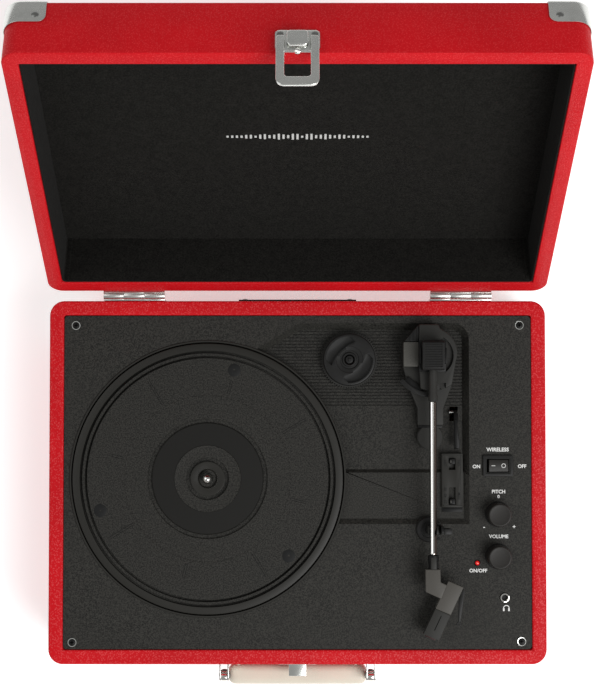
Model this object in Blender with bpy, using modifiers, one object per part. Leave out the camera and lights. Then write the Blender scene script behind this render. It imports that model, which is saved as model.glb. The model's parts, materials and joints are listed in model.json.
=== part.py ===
"""Suitcase record player: a wrapped case with a hinged lid, a belt-driven platter and a tonearm.

Run it in Blender, from the text editor or with blender --background --python part.py.
Sizes are in millimetres on the base's own centre lines: +X right, +Y towards the hinges, +Z up
from the floor. MM turns them into metres.
"""
import math

import bmesh
import bpy
from mathutils import Matrix, Vector

MM = 0.001
GAP = 0.3  # clearance between pieces that touch

# Case
WIDTH = 355.0
DEPTH = 259.0
CORNER = 10.5
WALL_X = 10.3
WALL_Y = 10.45
FOOT_HEIGHT = 5.0
RIM = 76.0
LEDGE = 3.0  # step in the walls that the deck and the bottom panel bear on
FRONT = -DEPTH / 2
BACK = DEPTH / 2
SPEAKER_X = 115.0
SPEAKER_Z = 40.0
SPEAKER_R = 22.0

# Lid, modelled closed and then turned open about its hinge
LID_HEIGHT = 41.0
LID_TOP_SHEET = 2.0
LINING = 0.8
LID_OPEN = 119.1
HINGE_Y = BACK + 4.0
HINGE_Z = RIM - 0.6
HINGE_X = 117.0
HINGE_LENGTH = 43.7
KNUCKLE_R = 2.75
HINGE_PIN_R = 1.2
LID_RIM = RIM + GAP
LID_TOP = LID_RIM + LID_HEIGHT

# Latch and handle, on the front wall
LATCH_Z = RIM + 9.5
LATCH_OUT = 3.2
LATCH_PIN_R = 0.8
LOOP_REACH = 36.5
LOOP_WIDTH = 26.0
LOOP_LEG = 5.2
LOOP_BAR = 5.8
HOOK_HALF = 6.3
HANDLE_X = 53.0
HANDLE_OUT = 11.5
HANDLE_Z = 54.0
HANDLE_DROP = 18.0
GRIP_LENGTH = 101.0

# Deck
DECK = 75.0
DECK_SHEET = 2.7
LOW_FLOOR = 69.0
MID_FLOOR = 72.0
SLOPE = 4.5
MID_SLOPE = 3.8
WELL_FLOOR = 64.0
PLATTER_XY = (-64.1, 2.4)
PLATTER_R = 96.6
PLATTER_TOP = 77.5
WELL_R = 97.4
LIP_R = 98.9
BELT_RIM_R = 60.0
PULLEY_R = 4.0
PULLEY_ANGLE = 140.0
PULLEY_DISTANCE = 78.0
SPINDLE_R = 3.6
SPINDLE_TOP = 87.5

# Tonearm
ARM_XY = (95.7, 89.6)
ARM_Z = 92.0
HOUSING_TOP = 85.9
TUBE_R = 2.5
SLEEVE_R = 3.0
TUBE_START = 57.1
TUBE_END = -50.6
REST_XY = (94.1, -33.7)
CLIP_OPEN = 100.0
CLIP_DX = 7.0
LIFT_R = 27.7
HEAD_TOP = (116.7, -73.2)  # three corners of the headshell's straight part
HEAD_RIGHT = (99.2, -110.6)
HEAD_LEFT = (88.3, -105.9)
CARTRIDGE_HALF = 4.4

# Controls
KNOB_X = 143.2
PITCH_Y = -23.1
VOLUME_Y = -53.0
KNOB_R = 8.7
ROCKER_XY = (143.1, 11.6)
ROCKER_TILT = 10.0
JACK_XY = (147.7, -82.3)
LED_XY = (128.3, -57.7)
SWITCH_X = 110.6
SWITCH_HALF = 7.6
AUTOSTOP_SLOT = (8.7, 17.0)
SPEED_SLOT = (-16.4, -3.9)
AUTOSTOP_AT = 14.7  # middle of the slider, at the slot's far end
SPEED_AT = -14.0  # middle of the slider, at the slot's near end
SLIDER_LENGTH = 4.0
ADAPTER_XY = (37.2, 87.4)
LEVER_XY = (112.2, 48.7)

# Sockets in the back wall
SOCKET_Z = 44.0
LINE_OUT_X = (4.0, 20.0)
INLET_X = -26.0
INLET_R = 3.2

FINISHES = {  # base colour, roughness, metallic
    "red_vinyl": ((0.46, 0.02, 0.03), 0.5, 0.0),
    "black_felt": ((0.012, 0.011, 0.01), 0.95, 0.0),
    "deck_plastic": ((0.032, 0.031, 0.027), 0.6, 0.0),
    "black_plastic": ((0.012, 0.012, 0.012), 0.4, 0.0),
    "grey_plastic": ((0.06, 0.058, 0.052), 0.5, 0.0),
    "platter_plastic": ((0.028, 0.028, 0.025), 0.55, 0.0),
    "bright_steel": ((0.62, 0.6, 0.57), 0.25, 1.0),
    "chrome": ((0.8, 0.78, 0.74), 0.08, 1.0),
    "cream_plastic": ((0.7, 0.65, 0.57), 0.35, 0.0),
    "rubber": ((0.01, 0.01, 0.01), 0.8, 0.0),
    "circuit_board": ((0.02, 0.12, 0.05), 0.5, 0.0),
    "red_lens": ((0.6, 0.02, 0.02), 0.2, 0.0),
    "fibreboard": ((0.2, 0.13, 0.07), 0.8, 0.0),
    "paper_cone": ((0.02, 0.02, 0.022), 0.9, 0.0),
}


# ---------------------------------------------------------------- scene and small helpers

def start_scene():
    """Remove what the scene holds and make the two collections."""
    for obj in list(bpy.data.objects):
        bpy.data.objects.remove(obj, do_unlink=True)
    collections = []
    for name in ("suitcase_record_player", "cutters"):
        collection = bpy.data.collections.new(name)
        bpy.context.scene.collection.children.link(collection)
        collections.append(collection)
    return collections


PARTS, CUTTERS = start_scene()


def make_materials():
    """Make one Principled material for each finish."""
    made = {}
    for name, (colour, roughness, metallic) in FINISHES.items():
        material = bpy.data.materials.new(name)
        material.use_nodes = True
        shader = material.node_tree.nodes["Principled BSDF"]
        shader.inputs["Base Color"].default_value = (*colour, 1.0)
        shader.inputs["Roughness"].default_value = roughness
        shader.inputs["Metallic"].default_value = metallic
        made[name] = material
    return made


MATERIALS = make_materials()


def add(name, data, finish, location=(0.0, 0.0, 0.0)):
    """Put a mesh or curve in the parts collection; location is in millimetres."""
    obj = bpy.data.objects.new(name, data)
    obj.location = Vector(location) * MM
    PARTS.objects.link(obj)
    if finish:
        data.materials.append(MATERIALS[finish])
    return obj


def smooth(mesh, angle=35.0):
    """Shade round faces smooth and keep real edges sharp."""
    mesh.shade_smooth()
    mesh.set_sharp_from_angle(angle=math.radians(angle))


def block(name, x, y, z, finish=None):
    """A box between two limits on each axis."""
    limits = (x, y, z)
    centre = [(low + high) / 2 for low, high in limits]
    size = [(high - low) * MM for low, high in limits]
    mesh = bpy.data.meshes.new(name)
    bm = bmesh.new()
    bmesh.ops.create_cube(bm, size=1.0, matrix=Matrix.Diagonal((*size, 1.0)))
    bm.to_mesh(mesh)
    bm.free()
    return add(name, mesh, finish, centre)


def disc(name, radius, along, at, finish=None, axis="Z", sides=32, top_radius=None):
    """A cylinder or cone; along holds its two ends on the axis, at its place on the other two."""
    low, high = along
    top = radius if top_radius is None else top_radius
    mesh = bpy.data.meshes.new(name)
    bm = bmesh.new()
    bmesh.ops.create_cone(bm, cap_ends=True, segments=sides, radius1=radius * MM,
                          radius2=top * MM, depth=(high - low) * MM)
    bm.to_mesh(mesh)
    bm.free()
    smooth(mesh)
    middle = (low + high) / 2
    places = {"Z": (*at, middle), "Y": (at[0], middle, at[1]), "X": (middle, *at)}
    turns = {"Z": (0, 0, 0), "Y": (-math.pi / 2, 0, 0), "X": (0, math.pi / 2, 0)}
    obj = add(name, mesh, finish, places[axis])
    obj.rotation_euler = turns[axis]
    return obj


def turned(name, profile, at, finish=None, steps=32, closed=False):
    """Turn a profile of (radius, height) points, which runs down its outer side, about Z."""
    mesh = bpy.data.meshes.new(name)
    points = [(radius * MM, 0.0, height * MM) for radius, height in profile]
    edges = [(i, i + 1) for i in range(len(points) - 1)]
    if closed:
        edges.append((len(points) - 1, 0))
    mesh.from_pydata(points, edges, [])
    obj = add(name, mesh, finish, (*at, 0.0))
    screw = obj.modifiers.new("turn", "SCREW")
    screw.steps = steps
    screw.render_steps = steps
    screw.use_merge_vertices = True
    screw.merge_threshold = 0.00001
    screw.use_smooth_shade = False
    return obj


def as_mesh(obj, finish=None):
    """Swap a curve for the mesh it draws, with its caps welded."""
    bpy.context.view_layer.update()
    evaluated = obj.evaluated_get(bpy.context.evaluated_depsgraph_get())
    mesh = bpy.data.meshes.new_from_object(evaluated)
    mesh.name = obj.name
    bm = bmesh.new()
    bm.from_mesh(mesh)
    bmesh.ops.remove_doubles(bm, verts=bm.verts, dist=0.000001)
    bm.to_mesh(mesh)
    bm.free()
    mesh.materials.clear()
    name = obj.name
    place = obj.matrix_world.copy()
    bpy.data.objects.remove(obj, do_unlink=True)
    fresh = add(name, mesh, finish)
    fresh.matrix_world = place
    return fresh


def plate(name, outline, z, finish=None, holes=()):
    """A flat outline in X and Y, with optional holes, between two heights."""
    curve = bpy.data.curves.new(name, "CURVE")
    curve.dimensions = "2D"
    curve.fill_mode = "BOTH"
    curve.extrude = (z[1] - z[0]) / 2 * MM
    for loop in (outline, *holes):
        spline = curve.splines.new("POLY")
        spline.points.add(len(loop) - 1)
        for point, (x, y) in zip(spline.points, loop):
            point.co = (x * MM, y * MM, 0.0, 1.0)
        spline.use_cyclic_u = True
    return as_mesh(add(name, curve, None, (0.0, 0.0, (z[0] + z[1]) / 2)), finish)


def rod(name, points, radius, finish=None, resolution=2):
    """A round rod through a list of points."""
    curve = bpy.data.curves.new(name, "CURVE")
    curve.dimensions = "3D"
    curve.bevel_depth = radius * MM
    curve.bevel_resolution = resolution
    curve.use_fill_caps = True
    spline = curve.splines.new("POLY")
    spline.points.add(len(points) - 1)
    for point, place in zip(spline.points, points):
        point.co = (*(Vector(place) * MM), 1.0)
    return as_mesh(add(name, curve, None), finish)


def side_plate(name, outline, x, finish=None):
    """A flat outline given as (Y, Z) points, between two places along X."""
    obj = plate(name, outline, (-(x[1] - x[0]) / 2, (x[1] - x[0]) / 2), finish)
    turn = Matrix(((0, 0, 1, 0), (1, 0, 0, 0), (0, 1, 0, 0), (0, 0, 0, 1)))
    obj.matrix_world = Matrix.Translation(((x[0] + x[1]) / 2 * MM, 0, 0)) @ turn
    return obj


def front_plate(name, outline, y, finish=None):
    """A flat outline given as (X, Z) points, between two places along Y."""
    obj = plate(name, outline, (-(y[1] - y[0]) / 2, (y[1] - y[0]) / 2), finish)
    turn = Matrix(((1, 0, 0, 0), (0, 0, -1, 0), (0, 1, 0, 0), (0, 0, 0, 1)))
    obj.matrix_world = Matrix.Translation((0, (y[0] + y[1]) / 2 * MM, 0)) @ turn
    return obj


def combine(obj, operation, tools):
    """Add a Boolean for each tool and put the tool away as a hidden guide."""
    for tool in tools:
        boolean = obj.modifiers.new(tool.name, "BOOLEAN")
        boolean.operation = operation
        boolean.solver = "EXACT"
        boolean.object = tool
        if tool.name in PARTS.objects:
            PARTS.objects.unlink(tool)
            CUTTERS.objects.link(tool)
        tool.hide_render = True
        tool.display_type = "WIRE"
    return obj


def cut(obj, *tools):
    """Take the tools away from a piece."""
    return combine(obj, "DIFFERENCE", tools)


def join(obj, *tools):
    """Fuse the tools with a piece."""
    return combine(obj, "UNION", tools)


def keep_common(obj, *tools):
    """Keep what a piece shares with each tool."""
    return combine(obj, "INTERSECT", tools)


def axis_empty(name, location):
    """An empty on a joint's axis."""
    empty = bpy.data.objects.new(name, None)
    empty.location = Vector(location) * MM
    empty.empty_display_size = 0.02
    PARTS.objects.link(empty)
    return empty


def hang(parent, *children):
    """Parent pieces to an empty and leave them where they are."""
    for child in children:
        child.parent = parent
        child.matrix_parent_inverse = Matrix.Translation(-parent.location)


# ---------------------------------------------------------------- outlines

def arc(centre, radius, start, stop, count):
    """Points along a circular arc, angles in degrees."""
    angles = [start + (stop - start) * i / (count - 1) for i in range(count)]
    return [(centre[0] + radius * math.cos(math.radians(a)),
             centre[1] + radius * math.sin(math.radians(a))) for a in angles]


def rounded_rectangle(width, depth, radius, centre=(0.0, 0.0), count=6):
    """A rectangle with round corners, anticlockwise."""
    x = width / 2 - radius
    y = depth / 2 - radius
    points = []
    for i, (sx, sy) in enumerate(((1, 1), (-1, 1), (-1, -1), (1, -1))):
        corner = (centre[0] + sx * x, centre[1] + sy * y)
        points += arc(corner, radius, 90 * i, 90 * i + 90, count)
    return points


def belt_outline(radius_a, radius_b, centre_a, centre_b, count=42):
    """The loop round two circles, as a belt lies on them."""
    across = Vector(centre_b) - Vector(centre_a)
    heading = math.degrees(math.atan2(across.y, across.x))
    spread = math.degrees(math.acos((radius_a - radius_b) / across.length))
    large = arc(centre_a, radius_a, heading + spread, heading + 360 - spread, count)
    small = arc(centre_b, radius_b, heading - spread, heading + spread, count // 3)
    return large + small


# ---------------------------------------------------------------- case

def base_case():
    """The base's four wrapped walls, with a ledge under the deck."""
    case = plate("base_case", rounded_rectangle(WIDTH, DEPTH, CORNER), (FOOT_HEIGHT, RIM), "red_vinyl")
    inside = (WIDTH - 2 * WALL_X, DEPTH - 2 * WALL_Y)
    deck_pocket = plate("deck_pocket", rounded_rectangle(*inside, 3.0),
                        (DECK - DECK_SHEET - GAP, RIM + 2))
    panel_pocket = plate("panel_pocket", rounded_rectangle(*inside, 3.0), (FOOT_HEIGHT - 2, 8 + GAP))
    cavity = plate("case_cavity", rounded_rectangle(inside[0] - 2 * LEDGE, inside[1] - 2 * LEDGE, 2.5),
                   (FOOT_HEIGHT - 1, RIM + 1))
    holes = [disc(f"speaker_hole_{side}", SPEAKER_R, (FRONT - 2, FRONT + 16), (x, SPEAKER_Z), axis="Y")
             for side, x in (("left", -SPEAKER_X), ("right", SPEAKER_X))]
    rear = block("rear_opening", (-38, 38), (BACK - 16, BACK + 2), (29, 59))
    return cut(case, deck_pocket, panel_pocket, cavity, *holes, rear)


def bottom_panel():
    """The fibreboard that closes the base from below."""
    outline = rounded_rectangle(WIDTH - 2 * WALL_X - 2 * GAP, DEPTH - 2 * WALL_Y - 2 * GAP, 2.7)
    return plate("bottom_panel", outline, (FOOT_HEIGHT, FOOT_HEIGHT + 3), "fibreboard")


def feet():
    """Four rubber feet."""
    made = []
    for index, (sx, sy) in enumerate(((-1, -1), (1, -1), (1, 1), (-1, 1)), 1):
        profile = [(0, FOOT_HEIGHT - GAP), (9.5, FOOT_HEIGHT - GAP), (8.2, 0.8), (7.4, 0), (0, 0)]
        made.append(turned(f"foot_{index}", profile, (sx * 135, sy * 88), "rubber", steps=24))
    return made


def corner_protector(name, sx, sy, z, lip_low, reach=26.0):
    """A metal cap over one case corner; z holds its wall's ends and lip_low says where its lip is."""
    sheet = 0.8
    outer = rounded_rectangle(WIDTH + 2 * (GAP + sheet), DEPTH + 2 * (GAP + sheet), CORNER + 1.1)
    inner = rounded_rectangle(WIDTH + 2 * GAP, DEPTH + 2 * GAP, CORNER + GAP)
    cap = plate(name, outer, z, "bright_steel")
    hollow = (z[0] + sheet, z[1] + 2) if lip_low else (z[0] - 2, z[1] - sheet)
    corner = (sx * (WIDTH / 2 + 2), sy * (DEPTH / 2 + 2))
    size = reach + 2
    window = plate(f"{name}_window", [(corner[0], corner[1]), (corner[0] - sx * size, corner[1]),
                                      (corner[0] - sx * size, corner[1] - sy * 8),
                                      (corner[0] - sx * 8, corner[1] - sy * size),
                                      (corner[0], corner[1] - sy * size)], (z[0] - 1, z[1] + 1))
    return cut(keep_common(cap, window), plate(f"{name}_hollow", inner, hollow))


def base_corners():
    """The four protectors under the base."""
    return [corner_protector(f"base_corner_{i}", sx, sy, (FOOT_HEIGHT - GAP - 0.8, 22.0), True)
            for i, (sx, sy) in enumerate(((-1, -1), (1, -1), (1, 1), (-1, 1)), 1)]


def lid_pieces():
    """The lid's shell, its felt lining and its four protectors, closed."""
    inside = (WIDTH - 2 * WALL_X, DEPTH - 2 * WALL_Y)
    shell = plate("lid_shell", rounded_rectangle(WIDTH, DEPTH, CORNER), (LID_RIM, LID_TOP), "red_vinyl")
    cut(shell, plate("lid_cavity", rounded_rectangle(*inside, 3.0), (LID_RIM - 2, LID_TOP - LID_TOP_SHEET)))
    top = LID_TOP - LID_TOP_SHEET - GAP
    lining = plate("lid_lining", rounded_rectangle(inside[0] - 2 * GAP, inside[1] - 2 * GAP, 2.7),
                   (LID_RIM + 1, top), "black_felt")
    trim = 2 * (GAP + LINING)
    cut(lining, plate("lining_cavity", rounded_rectangle(inside[0] - trim, inside[1] - trim, 1.9),
                      (LID_RIM - 1, top - LINING)))
    corners = [corner_protector(f"lid_corner_{i}", sx, sy, (LID_TOP - 17.0, LID_TOP + GAP + 0.8), False)
               for i, (sx, sy) in enumerate(((-1, -1), (1, -1), (1, 1), (-1, 1)), 1)]
    return [shell, lining, *corners]


def hinge(side, x):
    """One hinge: a leaf on the base, a leaf on the lid and the pin."""
    half = HINGE_LENGTH / 2
    third = HINGE_LENGTH / 6
    face = (BACK + GAP, BACK + GAP + 1.5)
    axis = (HINGE_Y, HINGE_Z)
    clear = KNUCKLE_R + GAP + 0.1

    def knuckle(name, start, stop, radius=KNUCKLE_R):
        return disc(name, radius, (x + start, x + stop), axis, axis="X", sides=20)

    base = block(f"base_hinge_leaf_{side}", (x - half, x + half), face, (HINGE_Z - 17, HINGE_Z),
                 "bright_steel")
    cut(base, knuckle(f"base_leaf_notch_{side}", -third - GAP, third + GAP, clear))
    join(base, knuckle(f"base_knuckle_a_{side}", -half, -third - GAP),
         knuckle(f"base_knuckle_b_{side}", third + GAP, half))
    cut(base, knuckle(f"base_bore_{side}", -half - 1, half + 1, HINGE_PIN_R + GAP))
    lid = block(f"lid_hinge_leaf_{side}", (x - half, x + half), face, (HINGE_Z, HINGE_Z + 17),
                "bright_steel")
    cut(lid, knuckle(f"lid_leaf_notch_a_{side}", -half - 1, -third, clear),
        knuckle(f"lid_leaf_notch_b_{side}", third, half + 1, clear))
    join(lid, knuckle(f"lid_knuckle_{side}", -third, third))
    cut(lid, knuckle(f"lid_bore_{side}", -half - 1, half + 1, HINGE_PIN_R + GAP))
    pin = disc(f"hinge_pin_{side}", HINGE_PIN_R, (x - half, x + half), axis, "bright_steel", "X", 16)
    return base, lid, pin


# ---------------------------------------------------------------- latch and handle

def latch_plate():
    """The plate on the lid's front wall, with the pin that the loop swings on."""
    out = FRONT - GAP
    body = block("latch_plate", (-13.5, 13.5), (out - 1.0, out), (RIM + 1.0, RIM + 17.5), "bright_steel")
    tab = block("latch_tab", (-6.5, 6.5), (out - 4.6, out - 0.5), (RIM + 5.0, RIM + 18.5))
    pin_end = LOOP_WIDTH / 2 - 0.2
    pin = disc("latch_pin", LATCH_PIN_R, (-pin_end, pin_end), (FRONT - LATCH_OUT, LATCH_Z), axis="X",
               sides=12)
    return join(body, tab, pin)


def latch_loop():
    """The swinging loop that goes over the catch; it lies along the wall."""
    half = LOOP_WIDTH / 2
    inner = half - LOOP_LEG
    top = LATCH_Z + 1.2
    bottom = LATCH_Z - LOOP_REACH
    bar_top = bottom + LOOP_BAR
    outline = arc((half - 5, bottom + 5), 5, -90, 0, 6) + [(half, top), (inner, top)]
    outline += arc((inner - 2, bar_top + 2), 2, 0, -90, 5)
    outline += arc((2 - inner, bar_top + 2), 2, -90, -180, 5)
    outline += [(-inner, top), (-half, top)] + arc((5 - half, bottom + 5), 5, 180, 270, 6)
    middle = FRONT - LATCH_OUT
    loop = front_plate("latch_loop", outline, (middle - 1.0, middle + 1.0), "bright_steel")
    eyes = [disc(f"loop_eye_{side}", 1.6, along, (middle, LATCH_Z), axis="X", sides=16)
            for side, along in (("left", (-half, -inner)), ("right", (inner, half)))]
    bore = disc("loop_bore", LATCH_PIN_R + GAP, (-half - 1, half + 1), (middle, LATCH_Z), axis="X",
                sides=12)
    return cut(join(loop, *eyes), bore)


def latch_catch():
    """The hook on the base's front wall; the loop swings out under its lip when it hangs slack."""
    out = FRONT - GAP
    hook = (-HOOK_HALF, HOOK_HALF)
    body = block("latch_catch", (-13.8, 13.8), (out - 1.0, out), (51.0, 66.0), "bright_steel")
    neck = block("catch_neck", hook, (FRONT - 10.5, out - 0.5), (58.0, 59.6))
    lip = block("catch_lip", hook, (FRONT - 10.5, FRONT - 9.1), (56.3, 59.0))
    return join(body, neck, lip)


def handle_bracket(side, x):
    """A riveted plate with two ears and a pin for the handle's eye."""
    out = FRONT - GAP
    body = block(f"handle_bracket_{side}", (x - 16, x + 16), (out - 1.2, out),
                 (HANDLE_Z - 6, HANDLE_Z + 6), "bright_steel")
    axis_y = FRONT - HANDLE_OUT
    ears = []
    for i, dx in enumerate((-3.4, 2.4), 1):
        outline = [(out - 0.6, HANDLE_Z - 4), (out - 0.6, HANDLE_Z + 4)]
        outline += arc((axis_y, HANDLE_Z), 3.6, 90, 270, 9)
        ears.append(side_plate(f"bracket_ear_{side}_{i}", outline, (x + dx, x + dx + 1.0)))
    pin = disc(f"bracket_pin_{side}", 1.5, (x - 3.0, x + 3.0), (axis_y, HANDLE_Z), axis="X", sides=12)
    return join(body, *ears, pin)


def handle():
    """The steel core with an eye at each end, and the grip round it."""
    axis_y = FRONT - HANDLE_OUT
    low = HANDLE_Z - HANDLE_DROP
    bend = 5.0
    points = [(-HANDLE_X, axis_y, HANDLE_Z - 3)]
    points += [(x, axis_y, z) for x, z in arc((-HANDLE_X + bend, low + bend), bend, 180, 270, 5)]
    points += [(x, axis_y, z) for x, z in arc((HANDLE_X - bend, low + bend), bend, 270, 360, 5)]
    points += [(HANDLE_X, axis_y, HANDLE_Z - 3)]
    core = rod("handle_core", points, 1.8, "bright_steel")
    for side, x in (("left", -HANDLE_X), ("right", HANDLE_X)):
        eye = disc(f"handle_eye_{side}", 3.6, (x - 1.9, x + 1.9), (axis_y, HANDLE_Z), axis="X", sides=20)
        hole = disc(f"handle_eye_hole_{side}", 1.5 + GAP, (x - 3, x + 3), (axis_y, HANDLE_Z),
                    axis="X", sides=16)
        join(core, eye)
        cut(core, hole)
    half = GRIP_LENGTH / 2
    grip = block("handle_grip", (-half, half), (axis_y - 7.5, axis_y + 7.5), (low - 9, low + 9),
                 "cream_plastic")
    round_edges = grip.modifiers.new("round_edges", "BEVEL")
    round_edges.width = 5.0 * MM
    round_edges.segments = 3
    room = 2.2
    across = (axis_y - room, axis_y + room)
    slot = block("grip_core_slot", (-half - 1, half + 1), across, (low - room, low + room))
    ends = [block(f"grip_end_slot_{i}", x, across, (low - room, low + 12))
            for i, x in enumerate(((-half - 1, -half + 3.5), (half - 3.5, half + 1)), 1)]
    cut(grip, slot, *ends)
    return core, grip


# ---------------------------------------------------------------- deck and platter

def recess_outline(front):
    """The sunken area's edge at deck height, run in under the platter on its left."""
    points = [(-45.0, 85.9), (1.2, 113.6)]
    points += arc((111.3, 102.1), 11.5, 90, 0, 6)
    points += [(122.8, front), (25.0 if front > 0 else 20.0, front)]
    return points[::-1]


def recess_tool(name, front, depth, slope):
    """A cutter with sloping sides for one floor of the sunken area."""
    tool = plate(name, recess_outline(front), (DECK, DECK + 3))
    bm = bmesh.new()
    bm.from_mesh(tool.data)
    flat = [face for face in bm.faces if face.normal.z < -0.9]
    bmesh.ops.dissolve_faces(bm, faces=flat)
    floor = [face for face in bm.faces if face.normal.z < -0.9]
    bmesh.ops.inset_region(bm, faces=floor, thickness=slope * MM, depth=depth * MM, use_even_offset=True)
    bm.to_mesh(tool.data)
    bm.free()
    return cut(tool, disc(f"{name}_platter_side", LIP_R, (DECK - 15, DECK + 6), PLATTER_XY, sides=48))


def deck_panel():
    """The moulded deck: a sheet, the platter's well, the sunken area and the holes through it."""
    outline = rounded_rectangle(WIDTH - 2 * WALL_X - 2 * GAP, DEPTH - 2 * WALL_Y - 2 * GAP, 2.7)
    deck = plate("deck_panel", outline, (DECK - DECK_SHEET, DECK), "deck_plastic")
    pan = plate("deck_pan", recess_outline(-30.0), (LOW_FLOOR - 2.2, DECK - 0.1))
    well = disc("deck_well", LIP_R + 0.6, (WELL_FLOOR - 2, DECK - 0.2), PLATTER_XY, sides=48)
    lip = disc("deck_lip", LIP_R, (DECK - 1, DECK + 1), PLATTER_XY, sides=48)
    join(deck, pan, well, lip)
    cut(deck, disc("well_cavity", WELL_R, (WELL_FLOOR, DECK + 4), PLATTER_XY, sides=48),
        recess_tool("middle_floor_tool", -30.0, DECK - MID_FLOOR, MID_SLOPE),
        recess_tool("low_floor_tool", 4.4, DECK - LOW_FLOOR, SLOPE))
    join(deck, disc("rest_boss", 9.6, (MID_FLOOR - 2, DECK + 0.3), REST_XY),
         disc("adapter_post", 3.2, (LOW_FLOOR - 1, LOW_FLOOR + 8), ADAPTER_XY, sides=24))
    holes = [
        disc("pitch_shaft_hole", 4.0, (DECK - 8, DECK + 4), (KNOB_X, PITCH_Y), sides=20),
        disc("volume_shaft_hole", 4.0, (DECK - 8, DECK + 4), (KNOB_X, VOLUME_Y), sides=20),
        disc("jack_hole", 3.6, (DECK - 8, DECK + 4), JACK_XY, sides=20),
        disc("led_hole", 1.9, (DECK - 8, DECK + 4), LED_XY, sides=16),
        block("rocker_hole", (ROCKER_XY[0] - 9.5, ROCKER_XY[0] + 9.5),
              (ROCKER_XY[1] - 6.5, ROCKER_XY[1] + 6.5), (DECK - 8, DECK + 4)),
        block("lever_slot", (LEVER_XY[0] - 3.0, LEVER_XY[0] + 3.0),
              (LEVER_XY[1] - 5.2, LEVER_XY[1] + 5.2), (LOW_FLOOR - 6, LOW_FLOOR + 4)),
        disc("bearing_hole", 6.0, (WELL_FLOOR - 4, WELL_FLOOR + 4), PLATTER_XY, sides=24),
        disc("pulley_hole", 6.5, (WELL_FLOOR - 4, WELL_FLOOR + 4), pulley_xy(), sides=24),
    ]
    return cut(deck, *holes)


def pulley_xy():
    """The motor's place: beside the belt rim, under the platter."""
    return arc(PLATTER_XY, PULLEY_DISTANCE, PULLEY_ANGLE, PULLEY_ANGLE, 2)[0]


def platter():
    """The platter with its belt rim, and the spindle it turns with."""
    top = PLATTER_TOP
    profile = [
        (4.0, top - 2.5), (6.7, top - 2.5), (6.7, top - 0.2), (12.3, top - 0.2), (12.3, top - 2.0),
        (15.1, top - 2.0), (15.1, top), (23.8, top), (23.8, top - 0.6), (42.8, top - 0.6),
        (42.8, top), (PLATTER_R - 1.0, top), (PLATTER_R, top - 1.0), (PLATTER_R, 66.0),
        (PLATTER_R - 2, 66.0), (PLATTER_R - 2, top - 4.5), (BELT_RIM_R, top - 4.5), (BELT_RIM_R, 66.0),
        (BELT_RIM_R - 2, 66.0), (BELT_RIM_R - 2, top - 4.5), (9.0, top - 4.5), (9.0, 66.5), (4.0, 66.5),
    ]
    body = turned("platter", profile, PLATTER_XY, "platter_plastic", steps=48, closed=True)
    shaft = [(0, SPINDLE_TOP), (1.6, SPINDLE_TOP - 0.4), (2.9, SPINDLE_TOP - 1.8),
             (SPINDLE_R, SPINDLE_TOP - 4), (SPINDLE_R, 66.0), (3.0, 65.4), (3.0, 50.0), (0, 50.0)]
    return body, turned("spindle", shaft, PLATTER_XY, "chrome", steps=24)


def drive():
    """The motor, its pulley, the belt and the spindle's bearing."""
    under = WELL_FLOOR - 2 - GAP
    flange = [(3.3, 65.0), (5.5, 65.0), (5.5, under), (12.0, under), (12.0, under - 2.5),
              (6.0, under - 2.5), (6.0, 48.0), (3.3, 48.0)]
    bearing = turned("spindle_bearing", flange, PLATTER_XY, "bright_steel", steps=24, closed=True)
    can = [(1.3, under - 1.0), (5.0, under - 1.0), (6.0, under - 3.0), (16.0, under - 3.0),
           (16.0, 38.0), (0, 38.0), (0, 47.0), (1.3, 47.0)]
    motor = turned("motor", can, pulley_xy(), "bright_steel", steps=28, closed=True)
    rim = PULLEY_R + 0.8
    wheel = [(0, 72.5), (rim, 72.5), (rim, 71.6), (PULLEY_R, 71.4), (PULLEY_R, 66.2), (rim, 66.0),
             (rim, 65.2), (1.0, 65.2), (1.0, 48.0), (0, 48.0)]
    pulley = turned("motor_pulley", wheel, pulley_xy(), "bright_steel", steps=24)
    inner = belt_outline(BELT_RIM_R + 0.5, PULLEY_R + 0.5, PLATTER_XY, pulley_xy())
    outer = belt_outline(BELT_RIM_R + 1.3, PULLEY_R + 1.3, PLATTER_XY, pulley_xy())
    belt = plate("drive_belt", outer, (66.8, 70.8), "rubber", holes=[inner])
    return bearing, motor, pulley, belt


def adapter():
    """The 45 rpm adapter, stored over its post."""
    low = LOW_FLOOR + GAP
    profile = [(3.6, low + 8.2), (18.0, low + 8.2), (18.7, low + 7.4), (18.7, low + 2.4), (20.6, low + 2.4),
               (20.6, low), (3.6, low)]
    return turned("adapter_45", profile, ADAPTER_XY, "black_plastic", steps=40, closed=True)


# ---------------------------------------------------------------- tonearm

def tonearm_base():
    """The arm's plinth, with the raised housing round the pivot."""
    low = LOW_FLOOR + GAP
    outline = [(75.4, 99.8), (75.4, 82.0), (78.5, 70.0), (85.6, 52.5), (85.6, 32.0)]
    outline += arc((ARM_XY[0] - 0.8, 32.0), 9.3, 180, 360, 9)
    outline += [(104.2, 52.5), (110.0, 68.0)]
    outline += arc((ARM_XY[0], 92.0), 18.0, -20, 70, 8)
    outline += [(100.0, 109.0), (84.0, 109.0)]
    plinth = plate("tonearm_base", outline, (low, 78.0), "grey_plastic")
    upper = [(75.4, 99.8), (75.4, 82.0)]
    upper += arc(ARM_XY, 24.6, 215, 305, 10)
    upper += arc((ARM_XY[0], 92.0), 17.9, -20, 70, 8)
    upper += [(100.0, 112.3), (86.5, 112.3)]
    housing = plate("pivot_housing", upper, (77.0, HOUSING_TOP))
    join(plinth, housing)
    lift_at = lift_pin_xy()
    return cut(plinth, disc("yoke_bore", 4.4, (low - 2, HOUSING_TOP + 2), ARM_XY, sides=24),
               disc("lift_bore", 1.9, (low - 2, HOUSING_TOP + 2), lift_at, sides=16))


def lift_pin_xy():
    """Where the cueing lift's pin goes down through the plinth."""
    return arc(ARM_XY, LIFT_R, 252, 252, 2)[0]


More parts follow.
